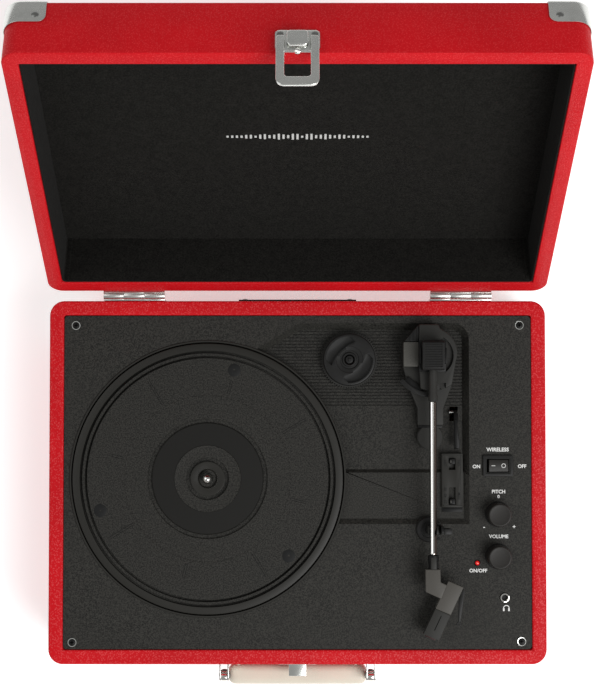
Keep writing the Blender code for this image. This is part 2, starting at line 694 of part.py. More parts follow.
def tonearm_yoke():
    """The fork that swings about the upright axis and carries the arm's level axis."""
    x, y = ARM_XY
    floor = block("tonearm_yoke", (x - 9.6, x + 9.6), (y - 11.2, y + 11.2),
                  (HOUSING_TOP + GAP, HOUSING_TOP + 1.8), "black_plastic")
    cheeks = [block(f"yoke_cheek_{i}", span, (y - 5.5, y + 5.5), (HOUSING_TOP + 1, ARM_Z + 3.6))
              for i, span in enumerate(((x - 9.6, x - 8.2), (x + 8.2, x + 9.6)), 1)]
    shaft = disc("yoke_shaft", 4.0, (LOW_FLOOR + 1, HOUSING_TOP + 1), ARM_XY, sides=24)
    join(floor, *cheeks, shaft)
    return cut(floor, disc("yoke_pin_holes", 1.5, (x - 12, x + 12), (y, ARM_Z), axis="X", sides=16))


def tonearm():
    """The lifting arm: pivot cap and sleeve, tube, headshell and cartridge."""
    x, y = ARM_XY
    low = HOUSING_TOP + 2.2
    section = [(y - 10.2, low), (y, low), (y + 10.2, low + 4.1), (y + 10.2, ARM_Z + 8),
               (y + 9.0, ARM_Z + 9), (y - 9.0, ARM_Z + 9), (y - 10.2, ARM_Z + 8)]
    cap = side_plate("pivot_cap", section, (x - 7.8, x + 7.8), "black_plastic")
    join(cap, disc("cap_pin", 1.2, (x - 9.3, x + 9.3), (y, ARM_Z), axis="X", sides=16),
         disc("cap_sleeve", SLEEVE_R, (TUBE_START + GAP, y - 9), (x, ARM_Z), axis="Y", sides=20))
    tube = disc("tonearm_tube", TUBE_R, (TUBE_END, TUBE_START), (x, ARM_Z), "chrome", "Y", 24)
    return cap, tube, headshell(), cartridge()


def headshell():
    """The bent shell on the end of the tube, with its ferrule and finger lift."""
    elbow = [(89.9, -60.4), (100.4, -60.4), (100.6, -69.6), (105.8, -72.0), (101.2, -81.9),
             (89.9, -76.3)]
    body = [(106.0, -68.7), HEAD_TOP, HEAD_RIGHT, HEAD_LEFT, (100.0, -81.0)]
    blade = [(114.0, -77.0), (116.0, -73.6), (118.0, -76.0), (114.4, -97.6), (112.6, -97.6),
             (113.2, -84.0)]
    shell = plate("headshell", elbow, (ARM_Z - 4.2, ARM_Z + 3.2), "grey_plastic")
    return join(shell, plate("headshell_body", body, (ARM_Z - 5.0, ARM_Z + 2.2)),
                disc("headshell_ferrule", 4.0, (-61.0, TUBE_END - GAP), (ARM_XY[0], ARM_Z), axis="Y",
                     sides=20),
                plate("finger_lift", blade, (ARM_Z - 0.8, ARM_Z + 0.8)))


def cartridge():
    """The cartridge under the shell's end, with its stylus."""
    along = (Vector(HEAD_RIGHT) - Vector(HEAD_TOP)).normalized()
    across = Vector((-along.y, along.x)) * CARTRIDGE_HALF
    tip = (Vector(HEAD_RIGHT) + Vector(HEAD_LEFT)) / 2
    near = tip - along * 1.5
    far = tip - along * 17.0
    corners = [tuple(point) for point in (near + across, near - across, far - across, far + across)]
    body = plate("cartridge", corners, (ARM_Z - 9.8, ARM_Z - 5.0 - GAP), "black_plastic")
    needle = tip - along * 5.0
    return join(body, disc("stylus", 0.5, (ARM_Z - 12.0, ARM_Z - 9.5), tuple(needle), sides=8,
                           top_radius=1.2))


def arm_rest():
    """The post under the tube, open on the platter's side, with an ear for the clip."""
    x, y = REST_XY
    tube_x = ARM_XY[0]
    foot = disc("arm_rest", 9.2, (DECK + 0.6, DECK + 2.6), REST_XY, "black_plastic")
    post = block("rest_post", (tube_x - 3.6, tube_x + 4.2), (y - 3, y + 3), (DECK + 2, ARM_Z - TUBE_R - GAP))
    ear = block("rest_ear", (tube_x + 3.2, tube_x + 5.2), (y - 3, y + 3), (DECK + 2, ARM_Z - 1.2))
    return join(foot, post, ear)


def arm_rest_clip():
    """The clip, modelled over the tube; its empty then turns it open."""
    y = REST_XY[1]
    tube_x = ARM_XY[0]
    pivot = (tube_x + CLIP_DX, ARM_Z + 1.0)
    width = (y - 2.0, y + 2.0)
    bar = block("arm_rest_clip", (tube_x - 4.4, pivot[0] + 1.4), width, (ARM_Z + 3.0, ARM_Z + 4.6),
                "black_plastic")
    hook = block("clip_hook", (tube_x - 4.4, tube_x - 3.1), width, (ARM_Z - 1.0, ARM_Z + 3.5))
    knuckle = block("clip_root", (pivot[0] - 1.2, pivot[0] + 1.4), width, (ARM_Z - 0.6, ARM_Z + 3.5))
    return join(bar, hook, knuckle), pivot


def cueing():
    """The cueing lever in its slot and the curved lift under the arm."""
    x, y = LEVER_XY
    pivot_z = 71.5
    shape = [(y + 2.6, pivot_z - 1.5), (y + 2.6, pivot_z + 1.2), (y + 1.0, pivot_z + 2.6), (y - 5.0, 76.5),
             (y - 24.0, 77.0), (y - 25.4, 76.0), (y - 24.0, 74.6), (y - 6.0, 74.2), (y - 2.6, pivot_z - 1.0),
             (y, pivot_z - 2.6)]
    lever = side_plate("cue_lever", shape[::-1], (x - 0.4, x + 2.2), "black_plastic")
    outer = arc(ARM_XY, LIFT_R + 1.6, 272, 218, 12)
    inner = arc(ARM_XY, LIFT_R - 1.6, 218, 272, 12)
    lift = plate("cue_lift", (outer + inner)[::-1], (82.0, 84.7), "black_plastic")
    join(lift, disc("lift_pin", 1.6, (LOW_FLOOR + 1, 83.0), lift_pin_xy(), sides=16))
    return lever, (y, pivot_z), lift


# ---------------------------------------------------------------- controls and electrics

def knob(name, y):
    """A control knob with a blind bore for its shaft."""
    profile = [(0, DECK + 13.4), (6.6, DECK + 13.2), (8.0, DECK + 12.4), (KNOB_R - 0.1, DECK + 11.0),
               (KNOB_R, DECK + 0.7), (3.3, DECK + 0.7), (3.3, DECK + 9.0), (0, DECK + 9.0)]
    return turned(name, profile, (KNOB_X, y), "black_plastic", steps=36)


def amplifier_board():
    """The circuit board with the two controls and their shafts."""
    board = block("amplifier_board", (104, 160), (-84, -4), (55, 56.6), "circuit_board")
    for name, y in (("pitch", PITCH_Y), ("volume", VOLUME_Y)):
        join(board, block(f"{name}_control", (KNOB_X - 8, KNOB_X + 8), (y - 8, y + 8), (56, 64)),
             disc(f"{name}_shaft", 3.0, (63, DECK + 8.4), (KNOB_X, y), sides=20))
    join(board, block("amplifier_heatsink", (108, 122), (-40, -14), (56, 66)),
         disc("board_capacitor", 5.0, (56, 68), (114, -66), sides=16))
    return board


def rocker_switch():
    """The rocker and the frame it sits in."""
    x, y = ROCKER_XY
    frame = block("rocker_frame", (x - 10.7, x + 10.7), (y - 7.5, y + 7.5), (DECK + GAP, DECK + 1.9),
                  "black_plastic")
    join(frame, block("rocker_case", (x - 9.1, x + 9.1), (y - 6.1, y + 6.1), (60, DECK + 1)))
    cut(frame, block("rocker_well", (x - 7.9, x + 7.9), (y - 4.8, y + 4.8), (64, DECK + 4)))
    outline = [(x - 7.2, DECK + 1.7), (x, DECK + 0.3), (x + 7.2, DECK + 1.7), (x + 6.4, DECK - 3.4),
               (x, DECK - 6.5), (x - 6.4, DECK - 3.4)]
    return frame, front_plate("rocker", outline, (y - 4.4, y + 4.4), "black_plastic")


def switch_plate():
    """The raised plate with two slots and the two sliders in it."""
    x = SWITCH_X
    width = (x - SWITCH_HALF, x + SWITCH_HALF)
    body = block("switch_plate", width, (-18.2, 20.2), (MID_FLOOR + GAP, 74.4), "grey_plastic")
    join(body, block("switch_plate_foot", width, (9.4, 20.2), (LOW_FLOOR + GAP, 73)))
    slot_width = (x - 2.3, x + 2.3)
    cut(body, block("autostop_slot", slot_width, AUTOSTOP_SLOT, (70.5, 76)),
        block("speed_slot", slot_width, SPEED_SLOT, (70.5, 76)))
    sliders = [block(name, (x - 1.9, x + 1.9), (at - SLIDER_LENGTH / 2, at + SLIDER_LENGTH / 2),
                     (MID_FLOOR + GAP + 0.2, 76.4), "black_plastic")
               for name, at in (("autostop_slider", AUTOSTOP_AT), ("speed_slider", SPEED_AT))]
    return body, *sliders


def sockets():
    """The headphone jack, the power light and the rear panel."""
    socket = [(1.8, DECK + 1.4), (4.2, DECK + 1.4), (4.2, DECK + GAP), (3.3, DECK + GAP), (3.3, 62),
              (0, 62), (0, 63.5), (1.8, 63.5)]
    jack = turned("headphone_jack", socket, JACK_XY, "chrome", steps=24, closed=True)
    lens = [(0, DECK + 1.5), (1.0, DECK + 1.2), (1.55, DECK + 0.3), (1.55, 69), (0, 69)]
    light = turned("power_led", lens, LED_XY, "red_lens", steps=16)
    panel = block("rear_panel", (-42.5, 42.5), (BACK + GAP, BACK + 1.8), (25, 63), "black_plastic")
    barrels = [disc(f"line_out_{i}", 4.2, (BACK - 7, BACK + 1), (x, SOCKET_Z), axis="Y", sides=20)
               for i, x in enumerate(LINE_OUT_X, 1)]
    join(panel, *barrels, disc("power_inlet", 5.4, (BACK - 4, BACK + 1), (INLET_X, SOCKET_Z),
                               axis="Y", sides=20))
    through = (BACK - 3, BACK + 10)
    bores = [disc(f"line_out_bore_{i}", 1.6, through, (x, SOCKET_Z), axis="Y", sides=12)
             for i, x in enumerate(LINE_OUT_X, 1)]
    inlet = disc("power_inlet_bore", INLET_R, through, (INLET_X, SOCKET_Z), axis="Y", sides=16)
    cut(panel, *bores, inlet)
    return jack, light, panel


def speaker(side, x):
    """A loudspeaker behind the front wall, facing forwards."""
    profile = [(0, 27), (14, 27), (14, 17), (22, 12), (25, 2), (27, 2), (27, 0), (22, 0), (9, 9),
               (0, 9)]
    obj = turned(f"speaker_{side}", profile, (0, 0), "paper_cone", steps=28)
    inner_face = FRONT + WALL_Y + LEDGE + GAP
    obj.location = Vector((x, inner_face, SPEAKER_Z)) * MM
    obj.rotation_euler = (-math.pi / 2, 0, 0)
    return obj


# ---------------------------------------------------------------- assembly

def build():
    """Model every piece and hang it on the body it moves with."""
    root = axis_empty("base_frame", (0, 0, 0))
    x, y = ARM_XY
    base = [base_case(), bottom_panel(), *feet(), *base_corners(), deck_panel(), latch_catch(),
            handle_bracket("left", -HANDLE_X), handle_bracket("right", HANDLE_X), tonearm_base(),
            arm_rest(), amplifier_board(), *sockets(), speaker("left", -SPEAKER_X),
            speaker("right", SPEAKER_X)]

    lid_axis = axis_empty("lid_axis", (0, HINGE_Y, HINGE_Z))
    lid = [*lid_pieces(), latch_plate()]
    for side, at in (("left", -HINGE_X), ("right", HINGE_X)):
        base_leaf, lid_leaf, pin = hinge(side, at)
        base += [base_leaf, pin]
        lid.append(lid_leaf)
    loop_axis = axis_empty("latch_axis", (0, FRONT - LATCH_OUT, LATCH_Z))
    hang(loop_axis, latch_loop())
    hang(lid_axis, *lid, loop_axis)

    handle_axis = axis_empty("handle_axis", (0, FRONT - HANDLE_OUT, HANDLE_Z))
    hang(handle_axis, *handle())

    platter_axis = axis_empty("platter_axis", (*PLATTER_XY, WELL_FLOOR))
    hang(platter_axis, *platter())
    bearing, motor, pulley, belt = drive()
    pulley_axis = axis_empty("pulley_axis", (*pulley_xy(), WELL_FLOOR))
    hang(pulley_axis, pulley)
    base += [bearing, motor, belt]

    swing_axis = axis_empty("swing_axis", (x, y, HOUSING_TOP))
    lift_axis = axis_empty("arm_axis", (x, y, ARM_Z))
    hang(lift_axis, *tonearm())
    hang(swing_axis, tonearm_yoke(), lift_axis)

    clip, clip_pivot = arm_rest_clip()
    clip_axis = axis_empty("clip_axis", (clip_pivot[0], REST_XY[1], clip_pivot[1]))
    hang(clip_axis, clip)
    clip_axis.rotation_euler = (0, math.radians(CLIP_OPEN), 0)

    lever, (lever_y, lever_z), lift = cueing()
    lever_axis = axis_empty("lever_axis", (LEVER_XY[0], lever_y, lever_z))
    hang(lever_axis, lever)

    frame, key = rocker_switch()
    rocker_axis = axis_empty("rocker_axis", (*ROCKER_XY, DECK - 2.0))
    hang(rocker_axis, key)
    rocker_axis.rotation_euler = (0, math.radians(ROCKER_TILT), 0)

    plate_body, *sliders = switch_plate()
    base += [frame, plate_body]
    loose = [knob("pitch_knob", PITCH_Y), knob("volume_knob", VOLUME_Y), adapter(), lift, *sliders]

    lid_axis.rotation_euler = (-math.radians(LID_OPEN), 0, 0)
    hang(root, *base, lid_axis, handle_axis, platter_axis, pulley_axis, swing_axis, clip_axis,
         lever_axis, rocker_axis, *loose)
    for tool in CUTTERS.objects:
        bring_along(tool, root)
    root.location = Vector((0, frame_shift(), 0)) * MM
    bpy.context.view_layer.update()


def bring_along(tool, root):
    """Give a cutter the parent of the piece it works on, so that the two move together."""
    owner = user_of(tool)
    while owner.name in CUTTERS.objects:
        owner = user_of(owner)
    hang(owner.parent or root, tool)


def user_of(tool):
    """The object that a cutter works on."""
    for obj in [*PARTS.objects, *CUTTERS.objects]:
        if any(getattr(modifier, "object", None) is tool for modifier in obj.modifiers):
            return obj
    raise ValueError(f"{tool.name} cuts nothing")


def frame_shift():
    """How far the base's centre lies in front of the whole object's middle, with the lid open."""
    angle = math.radians(LID_OPEN)
    sheet = GAP + 0.8
    far = (HINGE_Y - FRONT + sheet) * -math.cos(angle) + (LID_TOP + sheet - HINGE_Z) * math.sin(angle)
    back = HINGE_Y + far
    front = FRONT - HANDLE_OUT - 7.5
    return -(front + back) / 2


build()
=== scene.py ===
"""Suitcase record player: the finished look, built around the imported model's bodies.

Run it as a script. Sizes are in millimetres from the middle of the base, with +Z up from the
floor; the lid's pieces are modelled shut and then turned open with its own hinge.
"""

import json
import math

import bpy
from mathutils import Matrix, Vector

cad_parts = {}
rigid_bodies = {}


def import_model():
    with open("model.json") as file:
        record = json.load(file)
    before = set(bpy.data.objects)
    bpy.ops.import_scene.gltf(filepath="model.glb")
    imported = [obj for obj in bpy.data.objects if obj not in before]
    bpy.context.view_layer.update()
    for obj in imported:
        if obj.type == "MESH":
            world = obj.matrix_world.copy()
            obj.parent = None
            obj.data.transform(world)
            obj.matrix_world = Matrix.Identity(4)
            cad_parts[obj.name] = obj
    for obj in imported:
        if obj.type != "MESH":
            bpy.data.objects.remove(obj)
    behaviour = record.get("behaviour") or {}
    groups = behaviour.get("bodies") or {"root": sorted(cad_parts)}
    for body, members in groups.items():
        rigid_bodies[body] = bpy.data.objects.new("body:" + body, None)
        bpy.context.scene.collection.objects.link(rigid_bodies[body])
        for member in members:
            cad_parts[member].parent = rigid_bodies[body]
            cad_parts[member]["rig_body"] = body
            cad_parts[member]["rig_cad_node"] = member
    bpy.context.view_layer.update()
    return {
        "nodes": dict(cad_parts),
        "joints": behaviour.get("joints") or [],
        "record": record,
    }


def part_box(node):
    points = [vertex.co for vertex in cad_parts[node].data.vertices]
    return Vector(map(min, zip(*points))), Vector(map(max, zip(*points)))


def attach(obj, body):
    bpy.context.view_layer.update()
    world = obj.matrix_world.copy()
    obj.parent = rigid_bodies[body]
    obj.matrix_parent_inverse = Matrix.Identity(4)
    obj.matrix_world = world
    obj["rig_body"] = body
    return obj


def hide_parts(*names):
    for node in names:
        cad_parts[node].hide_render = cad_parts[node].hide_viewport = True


bl_info = {
    "name": "Suitcase Record Player Look",
    "version": (1, 0, 0),
    "blender": (4, 5, 0),
    "location": "3D View > Sidebar > Record Player",
    "description": "Models and finishes the visible pieces of a suitcase record player",
    "category": "Object",
}

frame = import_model()
MM = 0.001
GAP = 0.3
BODY_OF = {node: body for body, nodes in frame["record"]["behaviour"]["bodies"].items()
           for node in nodes}
JOINTS = {joint["name"]: joint for joint in frame["joints"]}
FINISHES = {}


# ---------------------------------------------------------------- places taken from the frame

CASE_LOW, CASE_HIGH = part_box("base_case")
MIDDLE = Matrix.Translation(((CASE_LOW.x + CASE_HIGH.x) / 2, (CASE_LOW.y + CASE_HIGH.y) / 2, 0))
LID_PIN = Matrix.Translation(JOINTS["lid_hinge"]["pos_m"])
LID_ANGLE = math.radians(JOINTS["lid_hinge"]["range_deg"][1])
OPEN_LID = LID_PIN @ Matrix.Rotation(-LID_ANGLE, 4, "X") @ LID_PIN.inverted()


def local_box(node):
    """A node's lowest and highest corner, in millimetres from the base's middle, lid shut."""
    turn = MIDDLE.inverted()
    if BODY_OF[node] in ("lid", "latch"):
        turn = turn @ OPEN_LID.inverted()
    points = [turn @ vertex.co / MM for vertex in frame["nodes"][node].data.vertices]
    low = Vector([min(point[i] for point in points) for i in range(3)])
    high = Vector([max(point[i] for point in points) for i in range(3)])
    return low, high


def local_middle(node):
    """The middle of a node's box."""
    low, high = local_box(node)
    return (low + high) / 2


def axis_of(joint):
    """A joint's place, in millimetres from the base's middle."""
    return MIDDLE.inverted() @ Vector(JOINTS[joint]["pos_m"]) / MM


CASE = local_box("base_case")
LID = local_box("lid_shell")
DECK_BOX = local_box("deck_panel")
HALF_X = CASE[1].x
HALF_Y = CASE[1].y
FOOT = CASE[0].z
RIM = CASE[1].z
LID_RIM = LID[0].z
LID_TOP = LID[1].z
WALL = HALF_X - DECK_BOX[1].x - GAP
CORNER = 10.5
DECK = RIM - 1.0
LOW_FLOOR = DECK - 6.0
MID_FLOOR = DECK - 3.0
PLATTER = local_middle("platter")
PLATTER_R = (local_box("platter")[1].x - local_box("platter")[0].x) / 2
PLATTER_TOP = local_box("platter")[1].z
ARM = axis_of("tonearm_lift")
REST = local_middle("arm_rest")
ADAPTER = local_middle("adapter_45")
ROCKER = local_middle("rocker_frame")
SWITCH = local_middle("switch_plate")
PITCH = axis_of("pitch_turn")
VOLUME = axis_of("volume_turn")
LED = local_middle("power_led")
JACK = local_middle("headphone_jack")
LATCH = MIDDLE.inverted() @ OPEN_LID.inverted() @ Vector(JOINTS["latch_swing"]["pos_m"]) / MM


# ---------------------------------------------------------------- settings

class CaseSizes(bpy.types.PropertyGroup):
    """Sizes of the wrapped case."""

    rim_round: bpy.props.FloatProperty(
        name="Rim Rounding", description="Radius of the wrapped rim's edges", default=1.5 * MM,
        min=0.0002, max=0.004, unit="LENGTH", subtype="DISTANCE")
    lid_round: bpy.props.FloatProperty(
        name="Lid Rounding", description="Radius of the edge round the lid's outside",
        default=2.4 * MM, min=0.0002, max=0.006, unit="LENGTH", subtype="DISTANCE")
    grain: bpy.props.FloatProperty(
        name="Grain", description="Size of one pebble of the vinyl's grain", default=1.15 * MM,
        min=0.0003, max=0.005, unit="LENGTH", subtype="DISTANCE")
    rib_depth: bpy.props.FloatProperty(
        name="Rib Depth", description="Depth of the grooves in the sunken deck",
        default=0.95 * MM, min=0.0001, max=0.0015, unit="LENGTH", subtype="DISTANCE")


class FinishColours(bpy.types.PropertyGroup):
    """Colours of the main finishes."""

    vinyl: bpy.props.FloatVectorProperty(
        name="Vinyl", description="Wrapping of the case and lid", default=(0.52, 0.0030, 0.0075),
        min=0.0, max=1.0, subtype="COLOR")
    felt: bpy.props.FloatVectorProperty(
        name="Felt", description="Lining of the lid", default=(0.0090, 0.0085, 0.0075),
        min=0.0, max=1.0, subtype="COLOR")
    deck: bpy.props.FloatVectorProperty(
        name="Deck", description="Moulded deck", default=(0.0205, 0.0198, 0.0172),
        min=0.0, max=1.0, subtype="COLOR")
    grip: bpy.props.FloatVectorProperty(
        name="Grip", description="Handle's grip", default=(0.68, 0.62, 0.52),
        min=0.0, max=1.0, subtype="COLOR")
    metal: bpy.props.FloatVectorProperty(
        name="Metal", description="Plated fittings", default=(0.76, 0.77, 0.74),
        min=0.0, max=1.0, subtype="COLOR")


class StageSettings(bpy.types.PropertyGroup):
    """Floor and lights."""

    key: bpy.props.FloatProperty(
        name="Key Light", description="Power of the large light in front", default=27.0,
        min=0.0, max=500.0, unit="POWER")
    fill: bpy.props.FloatProperty(
        name="Fill Light", description="Power of the light on the left", default=6.0,
        min=0.0, max=500.0, unit="POWER")
    sky: bpy.props.FloatProperty(
        name="Surround", description="Strength of the even light from all round", default=0.34,
        min=0.0, max=3.0)
    floor: bpy.props.FloatVectorProperty(
        name="Floor", description="Colour of the floor", default=(0.97, 0.97, 0.97),
        min=0.0, max=1.0, subtype="COLOR")


def sizes():
    """The case's sizes."""
    return bpy.context.scene.record_player_sizes


def colours():
    """The finishes' colours."""
    return bpy.context.scene.record_player_colours


# ---------------------------------------------------------------- shader maths

class Value:
    """A node socket that can be added, multiplied and compared, making the nodes it needs."""

    def __init__(self, graph, socket):
        self.graph = graph
        self.socket = socket

    def math(self, operation, *others):
        """A Math node on this value and the others."""
        return self.graph.add("ShaderNodeMath", {"operation": operation},
                              dict(enumerate((self, *others))))

    def __add__(self, other):
        return self.math("ADD", other)

    def __mul__(self, other):
        return self.math("MULTIPLY", other)

    def __sub__(self, other):
        return self.math("SUBTRACT", other)

    def __rsub__(self, other):
        return self.graph.add("ShaderNodeMath", {"operation": "SUBTRACT"}, {0: other, 1: self})

    def __gt__(self, other):
        return self.math("GREATER_THAN", other)

    def __lt__(self, other):
        return self.math("LESS_THAN", other)

    __radd__ = __add__
    __rmul__ = __mul__

    def between(self, low, high):
        """1 where the value lies between two limits."""
        return (self > low) * (self < high)


class Graph:
    """One material's nodes."""

    def __init__(self, name, colour, roughness, metallic=0.0, **uniform):
        self.material = bpy.data.materials.new(name)
        self.material.use_nodes = True
        FINISHES[name] = self.material
        self.tree = self.material.node_tree
        self.shader = self.tree.nodes["Principled BSDF"]
        self.shader.inputs["Base Color"].default_value = (*colour, 1.0)
        self.shader.inputs["Roughness"].default_value = roughness
        self.shader.inputs["Metallic"].default_value = metallic
        for socket, value in uniform.items():
            self.shader.inputs[socket.replace("_", " ")].default_value = value
        self.place = self.add("ShaderNodeTexCoord", {}, {}, "Object")

    def add(self, kind, settings=None, values=None, output=0):
        """A node of any type: its settings first, then its sockets' values or links."""
        node = self.tree.nodes.new(kind)
        for key, setting in (settings or {}).items():
            setattr(node, key, setting)
        for key, value in (values or {}).items():
            if isinstance(value, Value):
                self.tree.links.new(value.socket, node.inputs[key])
            else:
                node.inputs[key].default_value = value
        return Value(self, node.outputs[output])

    def noise(self, size, detail=3.0, roughness=0.55, place=None):
        """Noise whose blobs are about size metres across."""
        values = {"Vector": place or self.place, "Scale": 1.0 / size, "Detail": detail,
                  "Roughness": roughness}
        return self.add("ShaderNodeTexNoise", {}, values, "Fac")

    def cells(self, size):
        """Distance to the nearest of scattered points, about size metres apart."""
        values = {"Vector": self.place, "Scale": 1.0 / size, "Smoothness": 0.6}
        return self.add("ShaderNodeTexVoronoi", {"feature": "SMOOTH_F1"}, values, "Distance")

    def stretched(self, scale):
        """The place, stretched."""
        return self.add("ShaderNodeMapping", {}, {"Vector": self.place, "Scale": scale})

    def axes(self):
        """The place's three numbers."""
        node = self.tree.nodes.new("ShaderNodeSeparateXYZ")
        self.tree.links.new(self.place.socket, node.inputs[0])
        return [Value(self, node.outputs[i]) for i in range(3)]

    def distance(self, place):
        """Distance in plan from an upright axis through a place in the base's millimetres."""
        x, y, _ = self.axes()
        centre = MIDDLE @ (place * MM)
        dx = x - centre.x
        dy = y - centre.y
        return (dx * dx + dy * dy).math("SQRT")

    def mix(self, factor, first, second):
        """A colour between two colours."""
        settings = {"data_type": "RGBA", "clamp_factor": True}
        sockets = {0: factor, 6: rgba(first), 7: rgba(second)}
        return self.add("ShaderNodeMix", settings, sockets, 2)

    def ramp(self, value, low, high, to_low=0.0, to_high=1.0):
        """A value's stretch from low to high, spread over another stretch."""
        values = {"Value": value, "From Min": low, "From Max": high, "To Min": to_low,
                  "To Max": to_high}
        return self.add("ShaderNodeMapRange", {"clamp": True}, values)

    def set(self, socket, value):
        """Link a value to one of the shader's sockets."""
        self.tree.links.new(value.socket, self.shader.inputs[socket])
        return self

    def bump(self, height, depth, strength=1.0):
        """Raise the surface by a height from 0 to 1, times depth in metres."""
        values = {"Height": height, "Distance": depth, "Strength": strength}
        self.set("Normal", self.add("ShaderNodeBump", {}, values, "Normal"))
        return self


def rgba(colour):
    """A colour as four numbers, or a linked colour as it is."""
    return colour if isinstance(colour, Value) else (*colour, 1.0)


def scaled(colour, factor):
    """A colour made lighter or darker."""
    return tuple(min(1.0, channel * factor) for channel in colour)


# ---------------------------------------------------------------- finishes

def vinyl_finish(name, colour, grain, flecks_and_painted_highlights):
    """Pebbled vinyl over board: a painted highlight on the pebble tops, darker valleys and slow changes of
    tone.
    """
    gloss = 0.45
    graph = Graph(name, colour, gloss, Specular_IOR_Level=0.16)
    pebbles = graph.ramp(graph.cells(grain) + graph.noise(grain * 0.5) * 0.35, 0.25, 0.95)
    tops = 1.0 - pebbles
    tone = graph.noise(0.06, 2.0)
    base = graph.mix(graph.ramp(tone, 0.3, 0.7), scaled(colour, 0.9), scaled(colour, 1.08))
    # painted highlight: a paler, whiter red is mixed onto the pebble tops, by the amount given
    light = (min(1.0, colour[0] * 1.45), colour[1] + 0.09, colour[2] + 0.09)
    graph.set("Base Color", graph.mix(graph.ramp(tops, 0.45, 0.95, 0.0, flecks_and_painted_highlights), base, light))
    graph.set("Roughness", graph.ramp(pebbles, 0.2, 0.9, gloss - 0.06, gloss + 0.16))
    return graph.bump(tops, 0.00016, 0.55).material


def plastic_finish(name, colour, roughness, spark=0.0005, depth=0.00004, specks=0.35, specular=0.2):
    """Moulded plastic with a spark-eroded skin: fine specks, small dents and faint wear."""
    graph = Graph(name, colour, roughness, Specular_IOR_Level=specular)
    fine = graph.noise(spark, 2.0, 0.7)
    broad = graph.noise(0.04, 2.0)
    dark = scaled(colour, 1.0 - specks)
    light = scaled(colour, 1.0 + specks)
    skin = graph.mix(graph.ramp(fine, 0.4, 0.6), dark, light)
    graph.set("Base Color", graph.mix(graph.ramp(broad, 0.35, 0.7, 0.0, 0.3), skin,
                                      scaled(colour, 1.12)))
    graph.set("Roughness", graph.ramp(fine, 0.3, 0.7, roughness - 0.05, roughness + 0.08))
    return graph.bump(fine, depth, 0.6).material


def metal_finish(name, colour, roughness, along=(1.0, 1.0, 1.0)):
    """Plated metal with fine drawn lines, a slow stain and small scratches."""
    graph = Graph(name, colour, roughness, 1.0)
    lines = graph.noise(0.0006, 3.0, 0.6, graph.stretched(along))
    stain_and_painted_reflection = graph.noise(0.012, 3.0)
    graph.set("Base Color", graph.mix(graph.ramp(stain_and_painted_reflection, 0.35, 0.75, 0.0, 0.55), colour,
                                      scaled(colour, 0.72)))
    rough = graph.ramp(lines, 0.3, 0.75, roughness * 0.85, roughness * 1.15)
    graph.set("Roughness", rough + graph.ramp(stain_and_painted_reflection, 0.4, 0.8, 0.0, 0.07))
    return graph.bump(lines, 0.000004, 0.2).material


def felt_finish(name, colour):
    """Short felt: tangled fibres, pale lint and a soft sheen."""
    graph = Graph(name, colour, 0.95, Sheen_Weight=0.02, Sheen_Roughness=0.6,
                  Specular_IOR_Level=0.06)
    fibres = graph.noise(0.0012, 4.0, 0.75)
    clumps = graph.noise(0.005, 3.0)
    lint = graph.ramp(graph.noise(0.0016, 1.0), 0.72, 0.8, 0.0, 0.35)
    cloth = graph.mix(graph.ramp(fibres * 0.8 + clumps * 0.2, 0.4, 0.62), scaled(colour, 0.55),
                      scaled(colour, 1.8))
    graph.set("Base Color", graph.mix(lint, cloth, scaled(colour, 2.6)))
    return graph.bump(fibres, 0.0002, 0.5).material


def platter_finish(name, colour):
    """The platter's skin: speckled bands, a smooth dark band and turned lines."""
    graph = Graph(name, colour, 0.55, Specular_IOR_Level=0.2)
    radius = graph.distance(PLATTER)
    band = radius.between(0.0238, 0.0398)
    smooth = band + radius.between(0.0908, 0.0970) + radius.between(0.0060, 0.0124)
    fine = graph.noise(0.0009, 2.0, 0.75)
    specks = graph.mix(graph.ramp(fine, 0.4, 0.6), scaled(colour, 0.35), scaled(colour, 1.65))
    ring = graph.mix(graph.noise(0.03, 2.0), scaled(colour, 0.95), scaled(colour, 1.1))
    skin = graph.mix(smooth, specks, ring)
    graph.set("Base Color", graph.mix(band, skin, scaled(colour, 0.45)))
    lines = graph.noise(0.0004, 1.0, 0.5, graph.add("ShaderNodeCombineXYZ", {}, {0: radius}))
    graph.set("Roughness", graph.ramp(smooth, 0.0, 1.0, 0.62, 0.42))
    height = fine * (1.0 - smooth) + lines * smooth * 0.25
    return graph.bump(height, 0.00005, 0.6).material


def tube_finish(name, colour):
    """A polished tube, bright on top, with a painted dark reflection along its right side and painted shade
    along both edges.
    """
    graph = Graph(name, colour, 0.1, 1.0)
    across = graph.axes()[0] - (MIDDLE @ (ARM * MM)).x
    # painted reflection and shade: the right side is mixed to a dark brown-grey and both edges to near black
    side = graph.ramp(across, 0.0001, 0.0006)
    edge = graph.ramp(across.math("ABSOLUTE"), 0.0017, 0.0021)
    stain_and_painted_reflection = graph.mix(side, colour, (0.13, 0.10, 0.085))
    graph.set("Base Color", graph.mix(edge, stain_and_painted_reflection, (0.03, 0.028, 0.026)))
    graph.set("Roughness", graph.ramp(graph.noise(0.0008, 3.0), 0.3, 0.7, 0.08, 0.2))
    return graph.bump(graph.noise(0.0005), 0.000005, 0.3).material


def board_finish(name, colour, size=0.004):
    """Pressed fibreboard with long flecks."""
    graph = Graph(name, colour, 0.85)
    flecks_and_painted_highlights = graph.noise(size, 5.0, 0.7, graph.stretched((1.0, 3.0, 1.0)))
    graph.set("Base Color", graph.mix(graph.ramp(flecks_and_painted_highlights, 0.3, 0.7), scaled(colour, 0.6),
                                      scaled(colour, 1.3)))
    return graph.bump(flecks_and_painted_highlights, 0.0001, 0.4).material


